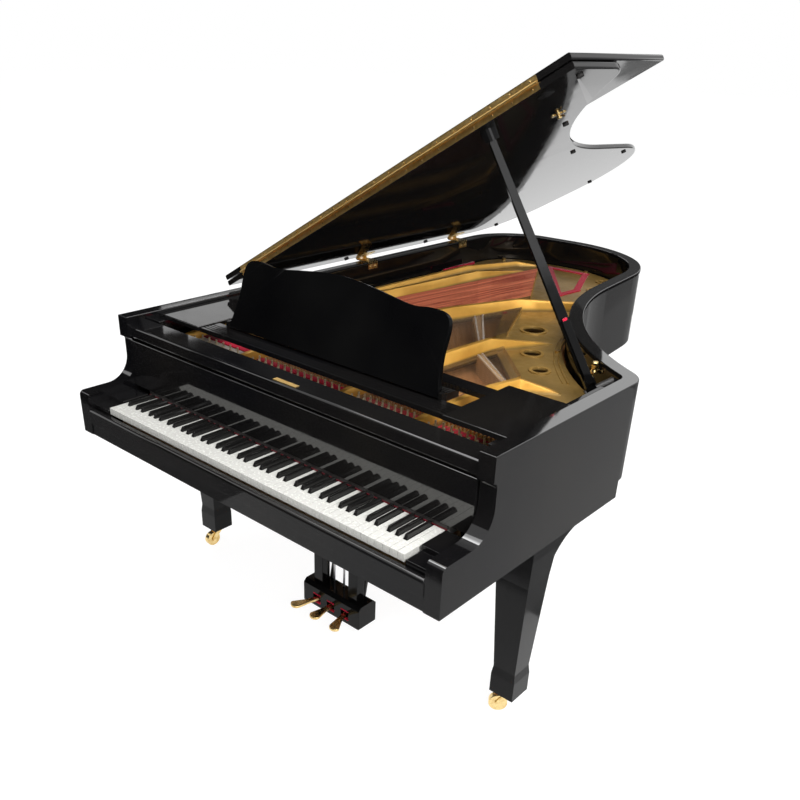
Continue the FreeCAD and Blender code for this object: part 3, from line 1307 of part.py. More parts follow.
def make_pedals():
    z0 = PEDAL_PIVOT_Z - PEDAL_THICK / 2
    end_y = ROD_Y + PEDAL_TAIL
    pivot = V(LYRE_HALF, PEDAL_PIVOT_Y, PEDAL_PIVOT_Z)
    for name, side in PEDALS.items():
        tip = V(side * PEDAL_SPREAD, PEDAL_TIP_Y, z0)
        wide = PEDAL_TIP_WIDE / 2
        half = PEDAL_WIDE / 2 * PEDAL_TAPER
        neck = PEDAL_TIP_Y + PEDAL_NECK
        round_y = PEDAL_TIP_Y + wide * PEDAL_ROUND
        root = side * pedal_x(end_y)
        neck_x = side * pedal_x(neck)
        p = [V(root + half, end_y, z0), V(neck_x + half, neck, z0)]
        p += [V(tip.x + wide, round_y, z0), tip]
        p += [V(tip.x - wide, round_y, z0), V(neck_x - half, neck, z0)]
        p.append(V(root - half, end_y, z0))
        edges = [line(p[0], p[1]), line(p[1], p[2]), arc(p[2], p[3], p[4]), line(p[4], p[5])]
        edges += [line(p[5], p[6]), line(p[6], p[0])]
        pedal = face_of(edges).extrude(V(0, 0, PEDAL_THICK))
        pedal = rounded(pedal, PEDAL_EDGE, lambda e: at_height(z0)(e) or at_height(z0 + PEDAL_THICK)(e))
        bore = rod(V(-LYRE_HALF, pivot.y, pivot.z), pivot, PEDAL_PIN + RUN_FIT)
        parts["pedal_" + name] = pedal.cut(bore)
        rod_foot = V(side * PEDAL_ROD_X, ROD_Y, PEDAL_PIVOT_Z + PEDAL_THICK / 2 + CONTACT)
        parts["pedal_rod_" + name] = rod(rod_foot, V(rod_foot.x, ROD_Y, ROD_TOP), ROD_RADIUS)


def write_parts():
    """Put the middle of the footprint at the origin and write every node."""
    shapes = {}
    whole = FreeCAD.BoundBox()
    for name, shape in parts.items():
        shapes[name] = Part.Compound(shape) if isinstance(shape, list) else shape
        whole.add(shapes[name].optimalBoundingBox(False))
    shift = V(-whole.Center.x, -whole.Center.y, -whole.ZMin)
    for name, shape in shapes.items():
        shape.translate(shift)
        shape.exportStep("parts/" + name + ".step")
    print("moved by", round(shift.x, 3), round(shift.y, 3), round(shift.z, 3))


make_case()
make_belly()
make_plate()
make_strings()
make_bridges()
make_felts()
make_keys()
make_action()
make_lid()
make_butts()
make_flap_hinge()
make_prop()
make_fallboard()
make_music_frame()
make_desk()
make_desk_strut()
make_stands()
make_lyre()
make_pedals()
write_parts()
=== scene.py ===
import json
import math

import bmesh
import bpy
from mathutils import Matrix, Vector


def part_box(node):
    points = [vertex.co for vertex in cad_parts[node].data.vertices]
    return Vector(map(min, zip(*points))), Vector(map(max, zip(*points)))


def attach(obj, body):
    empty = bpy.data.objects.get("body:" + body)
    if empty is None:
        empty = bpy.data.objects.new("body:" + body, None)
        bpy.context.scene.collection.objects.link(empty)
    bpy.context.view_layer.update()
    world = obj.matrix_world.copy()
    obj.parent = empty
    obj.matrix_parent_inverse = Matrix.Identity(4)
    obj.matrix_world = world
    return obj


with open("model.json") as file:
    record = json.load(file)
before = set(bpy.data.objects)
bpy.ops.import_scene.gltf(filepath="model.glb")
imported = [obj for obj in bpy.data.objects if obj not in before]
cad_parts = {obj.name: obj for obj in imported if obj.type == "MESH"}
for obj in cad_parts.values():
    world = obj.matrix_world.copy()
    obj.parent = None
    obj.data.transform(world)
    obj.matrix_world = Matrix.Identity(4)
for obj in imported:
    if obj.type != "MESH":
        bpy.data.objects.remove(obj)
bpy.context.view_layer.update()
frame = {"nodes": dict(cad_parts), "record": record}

NODES = frame["nodes"]

# Sizes and places of the object are in millimetres, in its building frame: x = 0 is the middle of the
# keyboard, y = 0 the front of the white keys and z = 0 the floor.
MM = 0.001

# Strings: height of their middle over the plate, radius of the thickest one, where the agraffes stand,
# where the copper of the bass strings starts and over what length, and their turn from the y axis
STRING_RISE = 20
BASS_WIRE = 1.8
AGRAFFE_Y = 412
WINDING_Y = 436
WINDING_BLEND = 2
BASS_TURN = -0.132

# Heights over the plate's face where its colour changes: painted light on ribs, painted shade in holes
RIB_LIGHT_BLEND = (3, 13)
HOLE_SHADE_BLEND = (-6, -1)

# The covering of the white keys
COVER_DEPTH = 23
COVER_BLEND = 0.3

# The lid turns on pins beside the bass rim; these are its places while it is closed.
LID_PIN_X = -756
LID_PIN_Z = 961
LID_OPEN = math.radians(30)
LID_UNDER = 959
LID_TOP = 976
FLAP_UNDER = 980

# Screws along the leaves of the flap's hinge, and in the leaves of the lid's two hinges
LEAF_FACE_Y = 604.8
LEAF_WIDTH = 15.5
LEAF_SCREWS = 21
LEAF_SCREW_REACH = 630
LEAF_SCREW = 2.6
BUTT_LENGTH = 56
BUTT_SCREW_STEPS = (14, 42)
BUTT_SCREW_RISE = 10
BUTT_SCREW = 4.0

# Heads of screws in shares of their radius: half the driver's slot, and pairs of width and rise
SLOT_SHARE = 0.14
HEAD_PROFILE = ((1.0, 0.0), (0.94, 0.28), (0.62, 0.5))
HEAD_ARC = 8

# Wire wound round the tuning pins
COIL_RADIUS = 3.9
COIL_WIRE = 0.7
COIL_TURNS = 3
COIL_STEPS = 10
COIL_SIDES = 5

# Pins beside the treble strings: their places as shares of the string, their step to the side, and
# pairs of radius and height; then how near a corner lies to the end and to the start of its string
BRIDGE_PIN_PLACES = (0.778, 0.812)
BRIDGE_PIN_STEP = 2.1
BRIDGE_PIN = ((1.3, -2.0), (1.3, 3.0), (0.5, 3.8))
BRIDGE_PIN_SIDES = 6
NEAR_HITCH = 5
NEAR_AGRAFFE = 4

# The cloth behind the keys and the rail that carries it
KEY_FELT_HALF = 616
KEY_FELT_FRONT = 150.6
KEY_FELT_BACK = 152.6
KEY_FELT_LOW = 711.2
KEY_FELT_TOP = 714.2
KEY_FELT_EDGE = 0.6
FELT_RAIL_BACK = 157
FELT_RAIL_TOP = 724.5
FELT_RAIL_EDGE = 0.8

# Cloth laid over the strings behind the tuning pins: x range, y range, top of the strings below it
STRING_CLOTHS = ((-598, -360, 366, 404, 863.8), (-304, 70, 347, 370, 862.6))
STRING_CLOTH_THICK = 2.4
STRING_CLOTH_EDGE = 0.8

# Cloth on the plate: a strip along the bass side, and a round with pairs of radius and height
BASS_FELT_LOW = (-661, 1740, 842)
BASS_FELT_HIGH = (-650, 1965, 860)
BASS_FELT_EDGE = 2.0
HITCH_FELT_AT = (-108, 1418)
HITCH_FELT = ((13, 0), (13, 4), (11, 5.5), (5, 6))

# The line of the prop, and the cap of its short stick: pairs of a share of the stick's width and a
# height; then how near a corner lies to the stick's end
PROP_FOOT = (610, 806, 893)
PROP_HEAD = (275.97, 666, 1560.97)
PROP_FELT = ((0.66, 0.0), (0.66, 5.0), (0.5, 6.5))
NEAR_STICK_END = 0.2

# The two raised lines cast in the plate beside the bent side
RIDGE_ARC = ((470, 925), (405, 1000), (348, 1072), (294, 1162), (248, 1259), (214, 1356), (190, 1450))
RIDGE_RADIUS = 4
INNER_RIDGE_RADIUS = 2.5
INNER_RIDGE_STEP = (-14, -9)
RIDGE_SIDES = 10

# The turned post inside the bent side, with pairs of radius and height, and the stem that holds it
RIM_POST_AT = (568.1, 886.9)
RIM_POST_FOOT = 913
RIM_POST = ((8, 0), (10.5, 2), (10.5, 9), (9, 11), (9, 22), (10.5, 24), (10.5, 34), (8, 37), (3, 38))
POST_STEM_END = (575, 896.2)
POST_STEM_Z = 924
POST_STEM_RADIUS = 4
POST_STEM_SIDES = 12

# The catch under the lid: pairs of radius and height, the step from its stud to an ear, and pairs of
# step and drop along its tongue
CATCH_AT = (509, 901)
CATCH_STUD = ((10, 0), (10, 2), (5, 3), (5, 9), (7, 10), (6, 13), (2, 14))
CATCH_EAR = ((7.5, 0), (7.5, 1.5), (6, 2.5))
CATCH_EAR_STEP = (12, 9)
CATCH_TONGUE = ((0, 7), (8, 8), (13, 10), (16, 14))
CATCH_TONGUE_RADIUS = 2.2

# Cloth above and below each slot that a pedal comes out of
PEDAL_XS = (-65.5, 0, 65.5)
PEDAL_FELT_ZS = (47, 79)
PEDAL_FELT_HALF_WIDTH = 16.9
PEDAL_FELT_HALF_THICK = 2
PEDAL_FELT_FRONT = 366.5
PEDAL_FELT_BACK = 376
PEDAL_FELT_EDGE = 0.8

# Radius of the softened edges of the solids
SOFT_EDGES = {
    "white_keys_c_f": 0.8,
    "white_keys_d_g": 0.8,
    "white_keys_e_a": 0.8,
    "white_keys_b": 0.8,
    "black_keys_c_f": 1.2,
    "black_keys_d_g": 1.2,
    "black_keys_a": 1.2,
    "prop_stick": 4.5,
    "prop_short_stick": 2.6,
    "music_desk": 2.5,
    "iron_plate": 1.2,
    "stretcher": 1.0,
    "side_rails": 1.5,
    "music_frame": 1.0,
    "key_blocks": 2.0,
    "leg_bass": 2.0,
    "leg_treble": 2.0,
    "leg_tail": 2.0,
    "pedal_lyre": 2.0,
    "lid_main": 0.8,
    "lid_flap": 0.8,
    "key_slip": 1.0,
    "fallboard": 1.5,
}
SOFT_EDGE_STEPS = 2
BLOCK_EDGE_STEPS = 3
WELD_REACH = 0.01
SHARP_EDGE = math.radians(38)

# Darkest and lightest tone of each finish
TONES = {
    "lacquer": ((0.0025, 0.0025, 0.003), (0.006, 0.0055, 0.005)),
    "deep_black": ((0.0012, 0.0012, 0.0014), (0.003, 0.003, 0.003)),
    "satin_black": ((0.008, 0.008, 0.008), (0.022, 0.020, 0.019)),
    # The plate: painted shade in its holes, its olive gold in the fields, painted light on its ribs
    "plate_hole_painted_shade": ((0.02, 0.012, 0.004), (0.035, 0.02, 0.006)),
    "plate_field": ((0.21, 0.13, 0.034), (0.35, 0.215, 0.062)),
    "plate_rib_painted_light": ((0.62, 0.32, 0.055), (0.82, 0.46, 0.09)),
    "spruce": ((0.34, 0.145, 0.048), (0.54, 0.255, 0.095)),
    "beech": ((0.36, 0.21, 0.10), (0.56, 0.37, 0.20)),
    "brass": ((0.66, 0.45, 0.17), (0.88, 0.67, 0.32)),
    "fitting_brass": ((0.50, 0.32, 0.10), (0.80, 0.58, 0.25)),
    "strip_brass": ((0.85, 0.55, 0.18), (0.95, 0.66, 0.26)),
    "bare_string": ((0.42, 0.38, 0.32), (0.70, 0.66, 0.60)),
    "copper": ((0.46, 0.085, 0.05), (0.95, 0.30, 0.15)),
    "red_felt": ((0.24, 0.004, 0.016), (0.54, 0.014, 0.045)),
    "dark_red_felt": ((0.05, 0.001, 0.003), (0.11, 0.003, 0.008)),
    "pale_felt": ((0.55, 0.52, 0.46), (0.75, 0.72, 0.66)),
    "black_rubber": ((0.010, 0.010, 0.010), (0.022, 0.021, 0.020)),
    "key_cover": ((0.406, 0.403, 0.381), (0.414, 0.411, 0.389)),
    "key_wood": ((0.48, 0.31, 0.16), (0.64, 0.45, 0.26)),
    "black_key": ((0.003, 0.003, 0.003), (0.009, 0.0085, 0.008)),
}

# Lightest tone of each steel, and the share of it that is left where the steel is dull
STEEL_TONES = {
    "steel": (0.62, 0.62, 0.64),
    "bright_steel": (0.85, 0.84, 0.82),
    "pin_steel": (0.86, 0.76, 0.56),
    "string_steel": (0.36, 0.25, 0.16),
}
DULL_SHARE = 0.7

# Refraction of the lacquer: its usual value, on the fallboard and on the rim's flat top, where the
# stronger mirror is painted sheen; then how far up a surface of the rim faces where that sheen starts and
# where it is full
LACQUER_INDEX = 1.5
FALLBOARD_INDEX = 1.75
TOP_SHEEN_INDEX = 3.0
TOP_SHEEN_FACING = (0.9, 0.99)

# Scale of the wave pattern for each unit of a wood's ring number
RING_SCALE = 0.32 / (2 * math.pi)

# Viewing point of the photograph; angles are in radians and the clip range in metres
CAMERA_PLACE = (1646.8, -1276.7, 1754.5)
CAMERA_YAW = -0.714
CAMERA_PITCH = -0.49
CAMERA_ROLL = 0.033
CAMERA_LENS = 37.89
CAMERA_SENSOR = 36.0
CAMERA_SHIFT = (0.0201, 0.1119)
CAMERA_CLIP = (0.05, 200)

# The set around the object is in metres, in the row frame.
FLOOR_REACH = 40.0
FLOOR_TONE = 0.86
FLOOR_GLOW = 0.78
FLOOR_BRIGHT = 1.18
WORLD_SOFT = 0.55
WHITE = (1, 1, 1, 1)

# Lamps: place, target, width, power, and whether the lacquer mirrors them
LAMPS = {
    "top_light": ((0.5, -0.5, 5.0), (0, 0, 0.8), 4.5, 320, True),
    "side_light": ((4.5, -3.0, 3.2), (0, 0, 0.8), 2.5, 90, True),
    "inside_light": ((2.0, -1.4, 2.1), (-0.1, 0.3, 0.85), 1.0, 62, False),
    "key_light": ((0.2, -3.4, 1.5), (0, -1.15, 0.7), 1.2, 22, False),
}

CARD_DARK = 0.012
CARD_LIFT = 0.01

# Sheets on the floor that only the lacquer mirrors: x range, y range, brightness
FLOOR_CARDS = {
    "low_card": (-7, 0.95, -4.2, -2.0, CARD_DARK),
    "slip_card_left": (-7, -0.9, -2.0, -1.25, 0.12),
    "slip_card": (-0.9, 0.95, -2.0, -1.25, 0.45),
    "side_card": (0.95, 1.95, -4.0, 2.0, 0.45),
    "far_card": (1.95, 16, -4.0, 2.0, 0.3),
    "tail_card": (0.95, 16, 2.0, 30, 0.24),
    "waist_card": (0.3, 0.95, -0.3, 2.2, 0.3),
    "corner_card": (-0.65, -0.3, 2.2, 3.6, 1.1),
    "flap_card": (-0.65, -0.3, 3.6, 4.9, 0.34),
    "bend_card": (-0.3, 0.95, 2.2, 14, 0.3),
    "back_card_left": (-7, -0.65, 3.0, 4.9, 1.2),
    "back_card": (-7, -0.3, 4.9, 14, 1.2),
}

# Upright sheets before and behind the object: x range, y, top, brightness
FACING_CARDS = {
    "front_card": (-7, 0.95, -4.2, 4.0, CARD_DARK),
    "back_wall_card": (-9, -2.9, 9.0, 4.0, 0.1),
}

# Upright sheets on the bass side, all at one x: y range, z range, brightness
LEFT_WALL = -3.2
LEFT_CARDS = {
    "rim_card": (-1.0, 9.0, 0.95, 1.8, CARD_DARK),
    "left_card_low": (-1.9, 0.8, 1.8, 4.0, CARD_DARK),
    "left_card_mid": (0.8, 1.0, 1.93, 4.0, CARD_DARK),
    "left_card_high": (1.0, 2.0, 2.02, 4.0, CARD_DARK),
    "edge_card": (-2.7, -1.9, 2.1, 4.2, 2.4),
}

# Dark sheet over the strings that only the open lid mirrors, as painted shade in its mirror of the inside:
# its front edge and its drop below the rim's top in millimetres, its share and its brightness
SHADE_CARD_FRONT = 640
SHADE_CARD_DROP = 12
SHADE_CARD_SHARE = 0.95
SHADE_CARD_TONE = 0.006

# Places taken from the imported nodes, in the row frame
RIM_LOW, RIM_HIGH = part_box("outer_rim")
SHIFT = Vector(((RIM_LOW.x + RIM_HIGH.x) / 2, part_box("white_keys_c_f")[0].y, 0))
KEY_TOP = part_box("white_keys_c_f")[1].z
PLATE_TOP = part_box("bass_strings")[0].z - (STRING_RISE - BASS_WIRE) * MM


def at(x, y, z):
    """A point of the building frame, in the row frame."""
    return Vector((x, y, z)) * MM + SHIFT


def on_plate(x, y):
    """A point on the face of the plate, in the row frame."""
    return Vector((*at(x, y, 0).xy, PLATE_TOP))


def over_plate(heights):
    """Heights over the face of the plate, in the row frame."""
    return [PLATE_TOP + height * MM for height in heights]


def lid_at(x, y, z):
    """A point of the closed lid, swung up to where the open lid has it."""
    reach, rise = x - LID_PIN_X, z - LID_PIN_Z
    c, s = math.cos(LID_OPEN), math.sin(LID_OPEN)
    return at(LID_PIN_X + reach * c - rise * s, y, LID_PIN_Z + reach * s + rise * c)


LID_DOWN = (lid_at(0, 0, 0) - lid_at(0, 0, 1)).normalized()
TO_PLAYER = Vector((0, -1, 0))
TO_TREBLE = Vector((1, 0, 0))
UP = Vector((0, 0, 1))


class Shader:
    """A material with one Principled shader and helpers for the nodes that feed it."""

    # Sockets of a Mix node that mixes colours
    MIX_FIRST, MIX_SECOND, MIX_RESULT = 6, 7, 2

    def __init__(self, name, **sockets):
        self.material = bpy.data.materials.new(name)
        self.material.use_nodes = True
        self.tree = self.material.node_tree
        self.bsdf = self.tree.nodes["Principled BSDF"]
        self.place = self.node("ShaderNodeTexCoord").outputs["Object"]
        for socket, value in sockets.items():
            self.bsdf.inputs[socket.replace("_", " ")].default_value = value

    def node(self, kind, **settings):
        made = self.tree.nodes.new(kind)
        for name, value in settings.items():
            setattr(made, name, value)
        return made

    def link(self, output, target):
        self.tree.links.new(output, target)

    def grain(self, length, turn=0.0):
        """The place on the object, for a pattern drawn out along y and turned about the upright."""
        mapping = self.node("ShaderNodeMapping", vector_type="TEXTURE")
        mapping.inputs["Scale"].default_value = (1, length, 1)
        mapping.inputs["Rotation"].default_value = (0, 0, turn)
        self.link(self.place, mapping.inputs["Vector"])
        return mapping.outputs["Vector"]

    def noise(self, scale, detail=3.0, place=None, rough=0.5):
        made = self.node("ShaderNodeTexNoise")
        made.inputs["Scale"].default_value = scale
        made.inputs["Detail"].default_value = detail
        made.inputs["Roughness"].default_value = rough
        self.link(place or self.place, made.inputs["Vector"])
        return made.outputs["Fac"]

    def waves(self, scale, distortion, place=None, direction="X"):
        made = self.node("ShaderNodeTexWave", bands_direction=direction)
        made.inputs["Scale"].default_value = scale
        made.inputs["Distortion"].default_value = distortion
        made.inputs["Detail"].default_value = 3.0
        made.inputs["Detail Scale"].default_value = 1.5
        self.link(place or self.place, made.inputs["Vector"])
        return made.outputs["Fac"]

    def coordinate(self, name):
        split = self.node("ShaderNodeSeparateXYZ")
        self.link(self.place, split.inputs["Vector"])
        return split.outputs[name]

    def facing_up(self):
        """How far the surface faces the ceiling."""
        split = self.node("ShaderNodeSeparateXYZ")
        self.link(self.node("ShaderNodeNewGeometry").outputs["Normal"], split.inputs["Vector"])
        return split.outputs["Z"]

    def ramp(self, factor, tones, stops=(0.3, 0.7)):
        """The factor as a colour between two tones, which it reaches at the stops."""
        made = self.node("ShaderNodeValToRGB")
        for element, stop, tone in zip(made.color_ramp.elements, stops, tones):
            element.position = stop
            element.color = (*tone, 1)
        self.link(factor, made.inputs["Fac"])
        return made.outputs["Color"]

    def spread(self, factor, low, high, source=(0.3, 0.7)):
        """The factor's usual range brought to low and high."""
        made = self.node("ShaderNodeMapRange")
        made.inputs["From Min"].default_value = source[0]
        made.inputs["From Max"].default_value = source[1]
        made.inputs["To Min"].default_value = low
        made.inputs["To Max"].default_value = high
        self.link(factor, made.inputs["Value"])
        return made.outputs["Result"]

    def mixed(self, factor, first, second):
        made = self.node("ShaderNodeMix", data_type="RGBA")
        self.link(factor, made.inputs["Factor"])
        self.link(first, made.inputs[self.MIX_FIRST])
        self.link(second, made.inputs[self.MIX_SECOND])
        return made.outputs[self.MIX_RESULT]

    def colour(self, output):
        self.link(output, self.bsdf.inputs["Base Color"])

    def roughness(self, output):
        self.link(output, self.bsdf.inputs["Roughness"])

    def bump(self, height, strength, depth):
        """Relief of a depth in millimetres, on top of any relief that is there already."""
        made = self.node("ShaderNodeBump")
        made.inputs["Strength"].default_value = strength
        made.inputs["Distance"].default_value = depth * MM
        self.link(height, made.inputs["Height"])
        before = self.bsdf.inputs["Normal"].links
        if before:
            self.link(before[0].from_socket, made.inputs["Normal"])
        self.link(made.outputs["Normal"], self.bsdf.inputs["Normal"])


def polished(name, haze, index):
    """Mirror-polished black, with the faint ripple and haze of a hand-rubbed finish."""
    s = Shader(name, IOR=index)
    s.colour(s.ramp(s.noise(2.5, detail=4.0), TONES["lacquer"]))
    s.roughness(s.spread(s.noise(14, detail=6.0), *haze))
    s.bump(s.noise(160, detail=2.0), strength=0.012, depth=0.4)
    return s


def lacquer(name, index):
    """The lacquer of the case."""
    return polished(name, (0.025, 0.075), index).material


def rim_lacquer():
    """The lacquer of the rim; its flat top mirrors more strongly than its sides, as painted sheen."""
    s = polished("rim_lacquer", (0.03, 0.085), LACQUER_INDEX)
    # Painted sheen: faces of the rim that look up mirror more strongly, so the flat top shows lighter
    top_sheen = s.spread(s.facing_up(), 0, 1, TOP_SHEEN_FACING)
    s.link(s.spread(top_sheen, LACQUER_INDEX, TOP_SHEEN_INDEX, (0, 1)), s.bsdf.inputs["IOR"])
    return s.material


def deep_black(name, shine):
    """A deeper black than the case has, with less to mirror."""
    s = Shader(name, IOR=1.45, Specular_IOR_Level=shine)
    s.colour(s.ramp(s.noise(3), TONES["deep_black"]))
    s.roughness(s.spread(s.noise(20, detail=5.0), 0.08, 0.16))
    s.bump(s.noise(200, detail=2.0), strength=0.015, depth=0.3)
    return s.material


def satin_black():
    """Black wood with a dull finish that lets its grain show."""
    s = Shader("satin_black", IOR=1.5)
    grain = s.noise(90, detail=4.0, place=s.grain(8))
    s.colour(s.ramp(grain, TONES["satin_black"], (0.3, 0.75)))
    s.roughness(s.spread(grain, 0.32, 0.5))
    s.bump(grain, strength=0.08, depth=0.4)
    return s.material


def gold_iron():
    """Gold-bronze paint on cast iron: olive in the fields, painted orange light on the ribs, painted shade
    in the holes.
    """
    s = Shader("gold_iron", Metallic=0.45, Specular_IOR_Level=0.5)
    cloud = s.noise(9, detail=6.0)
    # Painted light and shade by height: dark brown in the holes, lighter orange gold on the raised ribs
    hole = s.ramp(cloud, TONES["plate_hole_painted_shade"])
    field = s.ramp(cloud, TONES["plate_field"])
    rib = s.ramp(cloud, TONES["plate_rib_painted_light"])
    height = s.coordinate("Z")
    raised = s.spread(height, 0, 1, over_plate(RIB_LIGHT_BLEND))
    out_of_hole = s.spread(height, 0, 1, over_plate(HOLE_SHADE_BLEND))
    s.colour(s.mixed(out_of_hole, hole, s.mixed(raised, field, rib)))
    s.roughness(s.spread(s.noise(40, detail=5.0), 0.3, 0.48))
    s.bump(s.noise(420), strength=0.16, depth=0.6)
    s.bump(s.noise(28), strength=0.12, depth=1.2)
    return s.material


def grained(name, turn, rings, gloss):
    """Wood with its grain along one line and year rings that lie closer for a higher number."""
    s = Shader(name, Specular_IOR_Level=0.25)
    along = s.grain(28, turn)
    fibre = s.noise(260, detail=5.0, place=along)
    wood = s.ramp(s.waves(rings * RING_SCALE, 2.2, along), TONES[name], (0.0, 0.8))
    shade = s.ramp(fibre, TONES[name], (0.25, 0.75))
    s.colour(s.mixed(s.spread(s.noise(4, detail=2.0), 0.35, 0.65), wood, shade))
    s.roughness(s.spread(fibre, gloss, gloss + 0.18))
    s.bump(fibre, strength=0.1, depth=0.3)
    return s.material


def brass(name, gloss):
    """Polished brass with darker tarnish in patches and fine rub marks."""
    s = Shader(name, Metallic=1.0)
    s.colour(s.ramp(s.noise(55, detail=6.0), TONES[name], (0.32, 0.55)))
    s.roughness(s.spread(s.noise(240, detail=4.0), gloss, gloss + 0.2))
    s.bump(s.noise(700, detail=2.0), strength=0.05, depth=0.15)
    return s.material


def steel(name, metallic=1.0):
    """Drawn steel with duller patches."""
    s = Shader(name, Metallic=metallic)
    bright = STEEL_TONES[name]
    dull = tuple(DULL_SHARE * c for c in bright)
    s.colour(s.ramp(s.noise(180, detail=4.0), (dull, bright)))
    s.roughness(s.spread(s.noise(900, detail=2.0), 0.2, 0.4))
    return s.material


def copper_winding():
    """Bass strings: bare steel by their pins, then copper wound in fine ridges; each has its own shade."""
    s = Shader("copper_winding", Metallic=0.6)
    shade = s.noise(150, detail=2.0, place=s.grain(80, BASS_TURN))
    copper = s.ramp(shade, TONES["copper"], (0.32, 0.68))
    bare = s.ramp(shade, TONES["bare_string"])
    start = [at(0, y, 0).y for y in (WINDING_Y, WINDING_Y + WINDING_BLEND)]
    wound = s.spread(s.coordinate("Y"), 0, 1, start)
    s.colour(s.mixed(wound, bare, copper))
    s.roughness(s.spread(s.noise(300), 0.28, 0.45))
    s.bump(s.waves(420, 0.0, direction="Y"), strength=0.35, depth=0.3)
    return s.material


def felt(name):
    """Pressed wool cloth with loose fibres and a soft sheen."""
    s = Shader(name, Sheen_Weight=0.15, Sheen_Roughness=0.4, Roughness=0.95, Specular_IOR_Level=0.15)
    fibre = s.noise(900, detail=5.0, rough=0.7)
    s.colour(s.ramp(fibre, TONES[name]))
    s.bump(fibre, strength=0.5, depth=0.8)
    return s.material


def rubber():
    """Dull black rubber with fine specks."""
    s = Shader("black_rubber", Specular_IOR_Level=0.3)
    speck = s.noise(500)
    s.colour(s.ramp(speck, TONES["black_rubber"]))
    s.roughness(s.spread(speck, 0.6, 0.8))
    s.bump(speck, strength=0.15, depth=0.3)
    return s.material


def white_key():
    """Ivory-white covering on a wooden key."""
    s = Shader("white_key", Coat_Weight=0.35, Coat_Roughness=0.1)
    vein = s.noise(70, detail=4.0, place=s.grain(12))
    cover = s.ramp(vein, TONES["key_cover"])
    wood = s.ramp(s.noise(160, detail=5.0, place=s.grain(20)), TONES["key_wood"])
    cover_low = KEY_TOP - COVER_DEPTH * MM
    covered = s.spread(s.coordinate("Z"), 0, 1, (cover_low, cover_low + COVER_BLEND * MM))
    s.colour(s.mixed(covered, wood, cover))
    s.roughness(s.spread(s.noise(120, detail=4.0), 0.26, 0.28))
    s.bump(vein, strength=0.008, depth=0.2)
    return s.material


def black_key():
    """Polished black sharps with the grain of dense wood."""
    s = Shader("black_key", IOR=1.5, Specular_IOR_Level=0.4)
    grain = s.noise(220, detail=5.0, place=s.grain(16))
    s.colour(s.ramp(grain, TONES["black_key"], (0.3, 0.75)))
    s.roughness(s.spread(grain, 0.16, 0.3))
    s.bump(grain, strength=0.08, depth=0.3)
    return s.material


GOLD_IRON = gold_iron()
SATIN = satin_black()
PROP_BLACK = deep_black("prop_lacquer", 0.16)
STAND_BLACK = deep_black("stand_lacquer", 0.16)
BRASS = brass("brass", 0.16)
STRIP_BRASS = brass("strip_brass", 0.32)
STEEL = steel("steel")
BRIGHT_STEEL = steel("bright_steel")
RED_FELT = felt("red_felt")
DARK_FELT = felt("dark_red_felt")

SLOT_MATERIAL = {
    "black_lacquer": lacquer("black_lacquer", LACQUER_INDEX),
    "satin_black_wood": SATIN,
    "gold_iron": GOLD_IRON,
    "spruce": grained("spruce", turn=0.7, rings=260, gloss=0.5),
    "beech": grained("beech", turn=0.0, rings=180, gloss=0.4),
    "brass": BRASS,
    "steel": STEEL,
    "copper_winding": copper_winding(),
    "red_felt": RED_FELT,
    "black_rubber": rubber(),
    "white_key": white_key(),
    "black_key": black_key(),
    "hammer_felt": felt("pale_felt"),
}
NODE_MATERIAL = {
    "outer_rim": rim_lacquer(),
    "fallboard": lacquer("fallboard_lacquer", FALLBOARD_INDEX),
    "music_desk": deep_black("desk_lacquer", 0.05),
    "prop_stick": PROP_BLACK,
    "prop_short_stick": PROP_BLACK,
    "prop_cup": PROP_BLACK,
    "prop_bracket": SATIN,
    "lyre_braces": SATIN,
    "leg_bass": STAND_BLACK,
    "leg_treble": STAND_BLACK,
    "leg_tail": STAND_BLACK,
    "pedal_lyre": STAND_BLACK,
    "plate_fittings": brass("fitting_brass", 0.25),
    "flap_hinge_lid": STRIP_BRASS,
    "flap_hinge_flap": STRIP_BRASS,
    "lock_strike": STRIP_BRASS,
    "tuning_pins": steel("pin_steel", metallic=0.55),
    "treble_strings": steel("string_steel"),
}


def dress_nodes():
    """Each solid gets its own finish, or else that of its material slot."""
    for entry in frame["record"]["subparts"]:
        node = NODES[entry["node"]]
        node.data.materials.clear()
        node.data.materials.append(NODE_MATERIAL.get(entry["node"], SLOT_MATERIAL[entry["material_slot"]]))


def soften_edges():
    """Small rounds that catch the light along the edges of the solids."""
    for node, radius in SOFT_EDGES.items():
        weld = NODES[node].modifiers.new("weld", "WELD")
        weld.merge_threshold = WELD_REACH * MM
        bevel = NODES[node].modifiers.new("bevel", "BEVEL")
        bevel.width = radius * MM
        bevel.segments = SOFT_EDGE_STEPS
        bevel.limit_method = "ANGLE"
        bevel.angle_limit = SHARP_EDGE
        bevel.harden_normals = True


def on_circle(radius, angle, height=0):
    """A point on a circle about the upright."""
    return Vector((radius * math.cos(angle), radius * math.sin(angle), height))


def bridged(bm, rings):
    """Skin over closed rings of corners, with a cap at either end."""
    for a, b in zip(rings, rings[1:]):
        for k in range(len(a)):
            after = (k + 1) % len(a)
            bm.faces.new((a[k], a[after], b[after], b[k]))
    bm.faces.new(rings[0])
    bm.faces.new(rings[-1])


def tube(bm, points, radius, sides=8):
    """A round bar along the points, with its radius in millimetres."""
    rings = []
    last = len(points) - 1
    for i, point in enumerate(points):
        turn = (points[min(i + 1, last)] - points[max(i - 1, 0)]).to_track_quat("Z", "Y")
        ring = []
        for k in range(sides):
            ring.append(bm.verts.new(point + turn @ on_circle(radius * MM, 2 * math.pi * k / sides)))
        rings.append(ring)
    bridged(bm, rings)


def lathe(bm, place, axis, profile, sides=20):
    """A turned shape: pairs of radius and height in millimetres, set up along the axis."""
    turn = axis.to_track_quat("Z", "Y")
    rings = []
    for radius, height in profile:
        ring = []
        for k in range(sides):
            corner = on_circle(radius, 2 * math.pi * k / sides, height) * MM
            ring.append(bm.verts.new(place + turn @ corner))
        rings.append(ring)
    bridged(bm, rings)


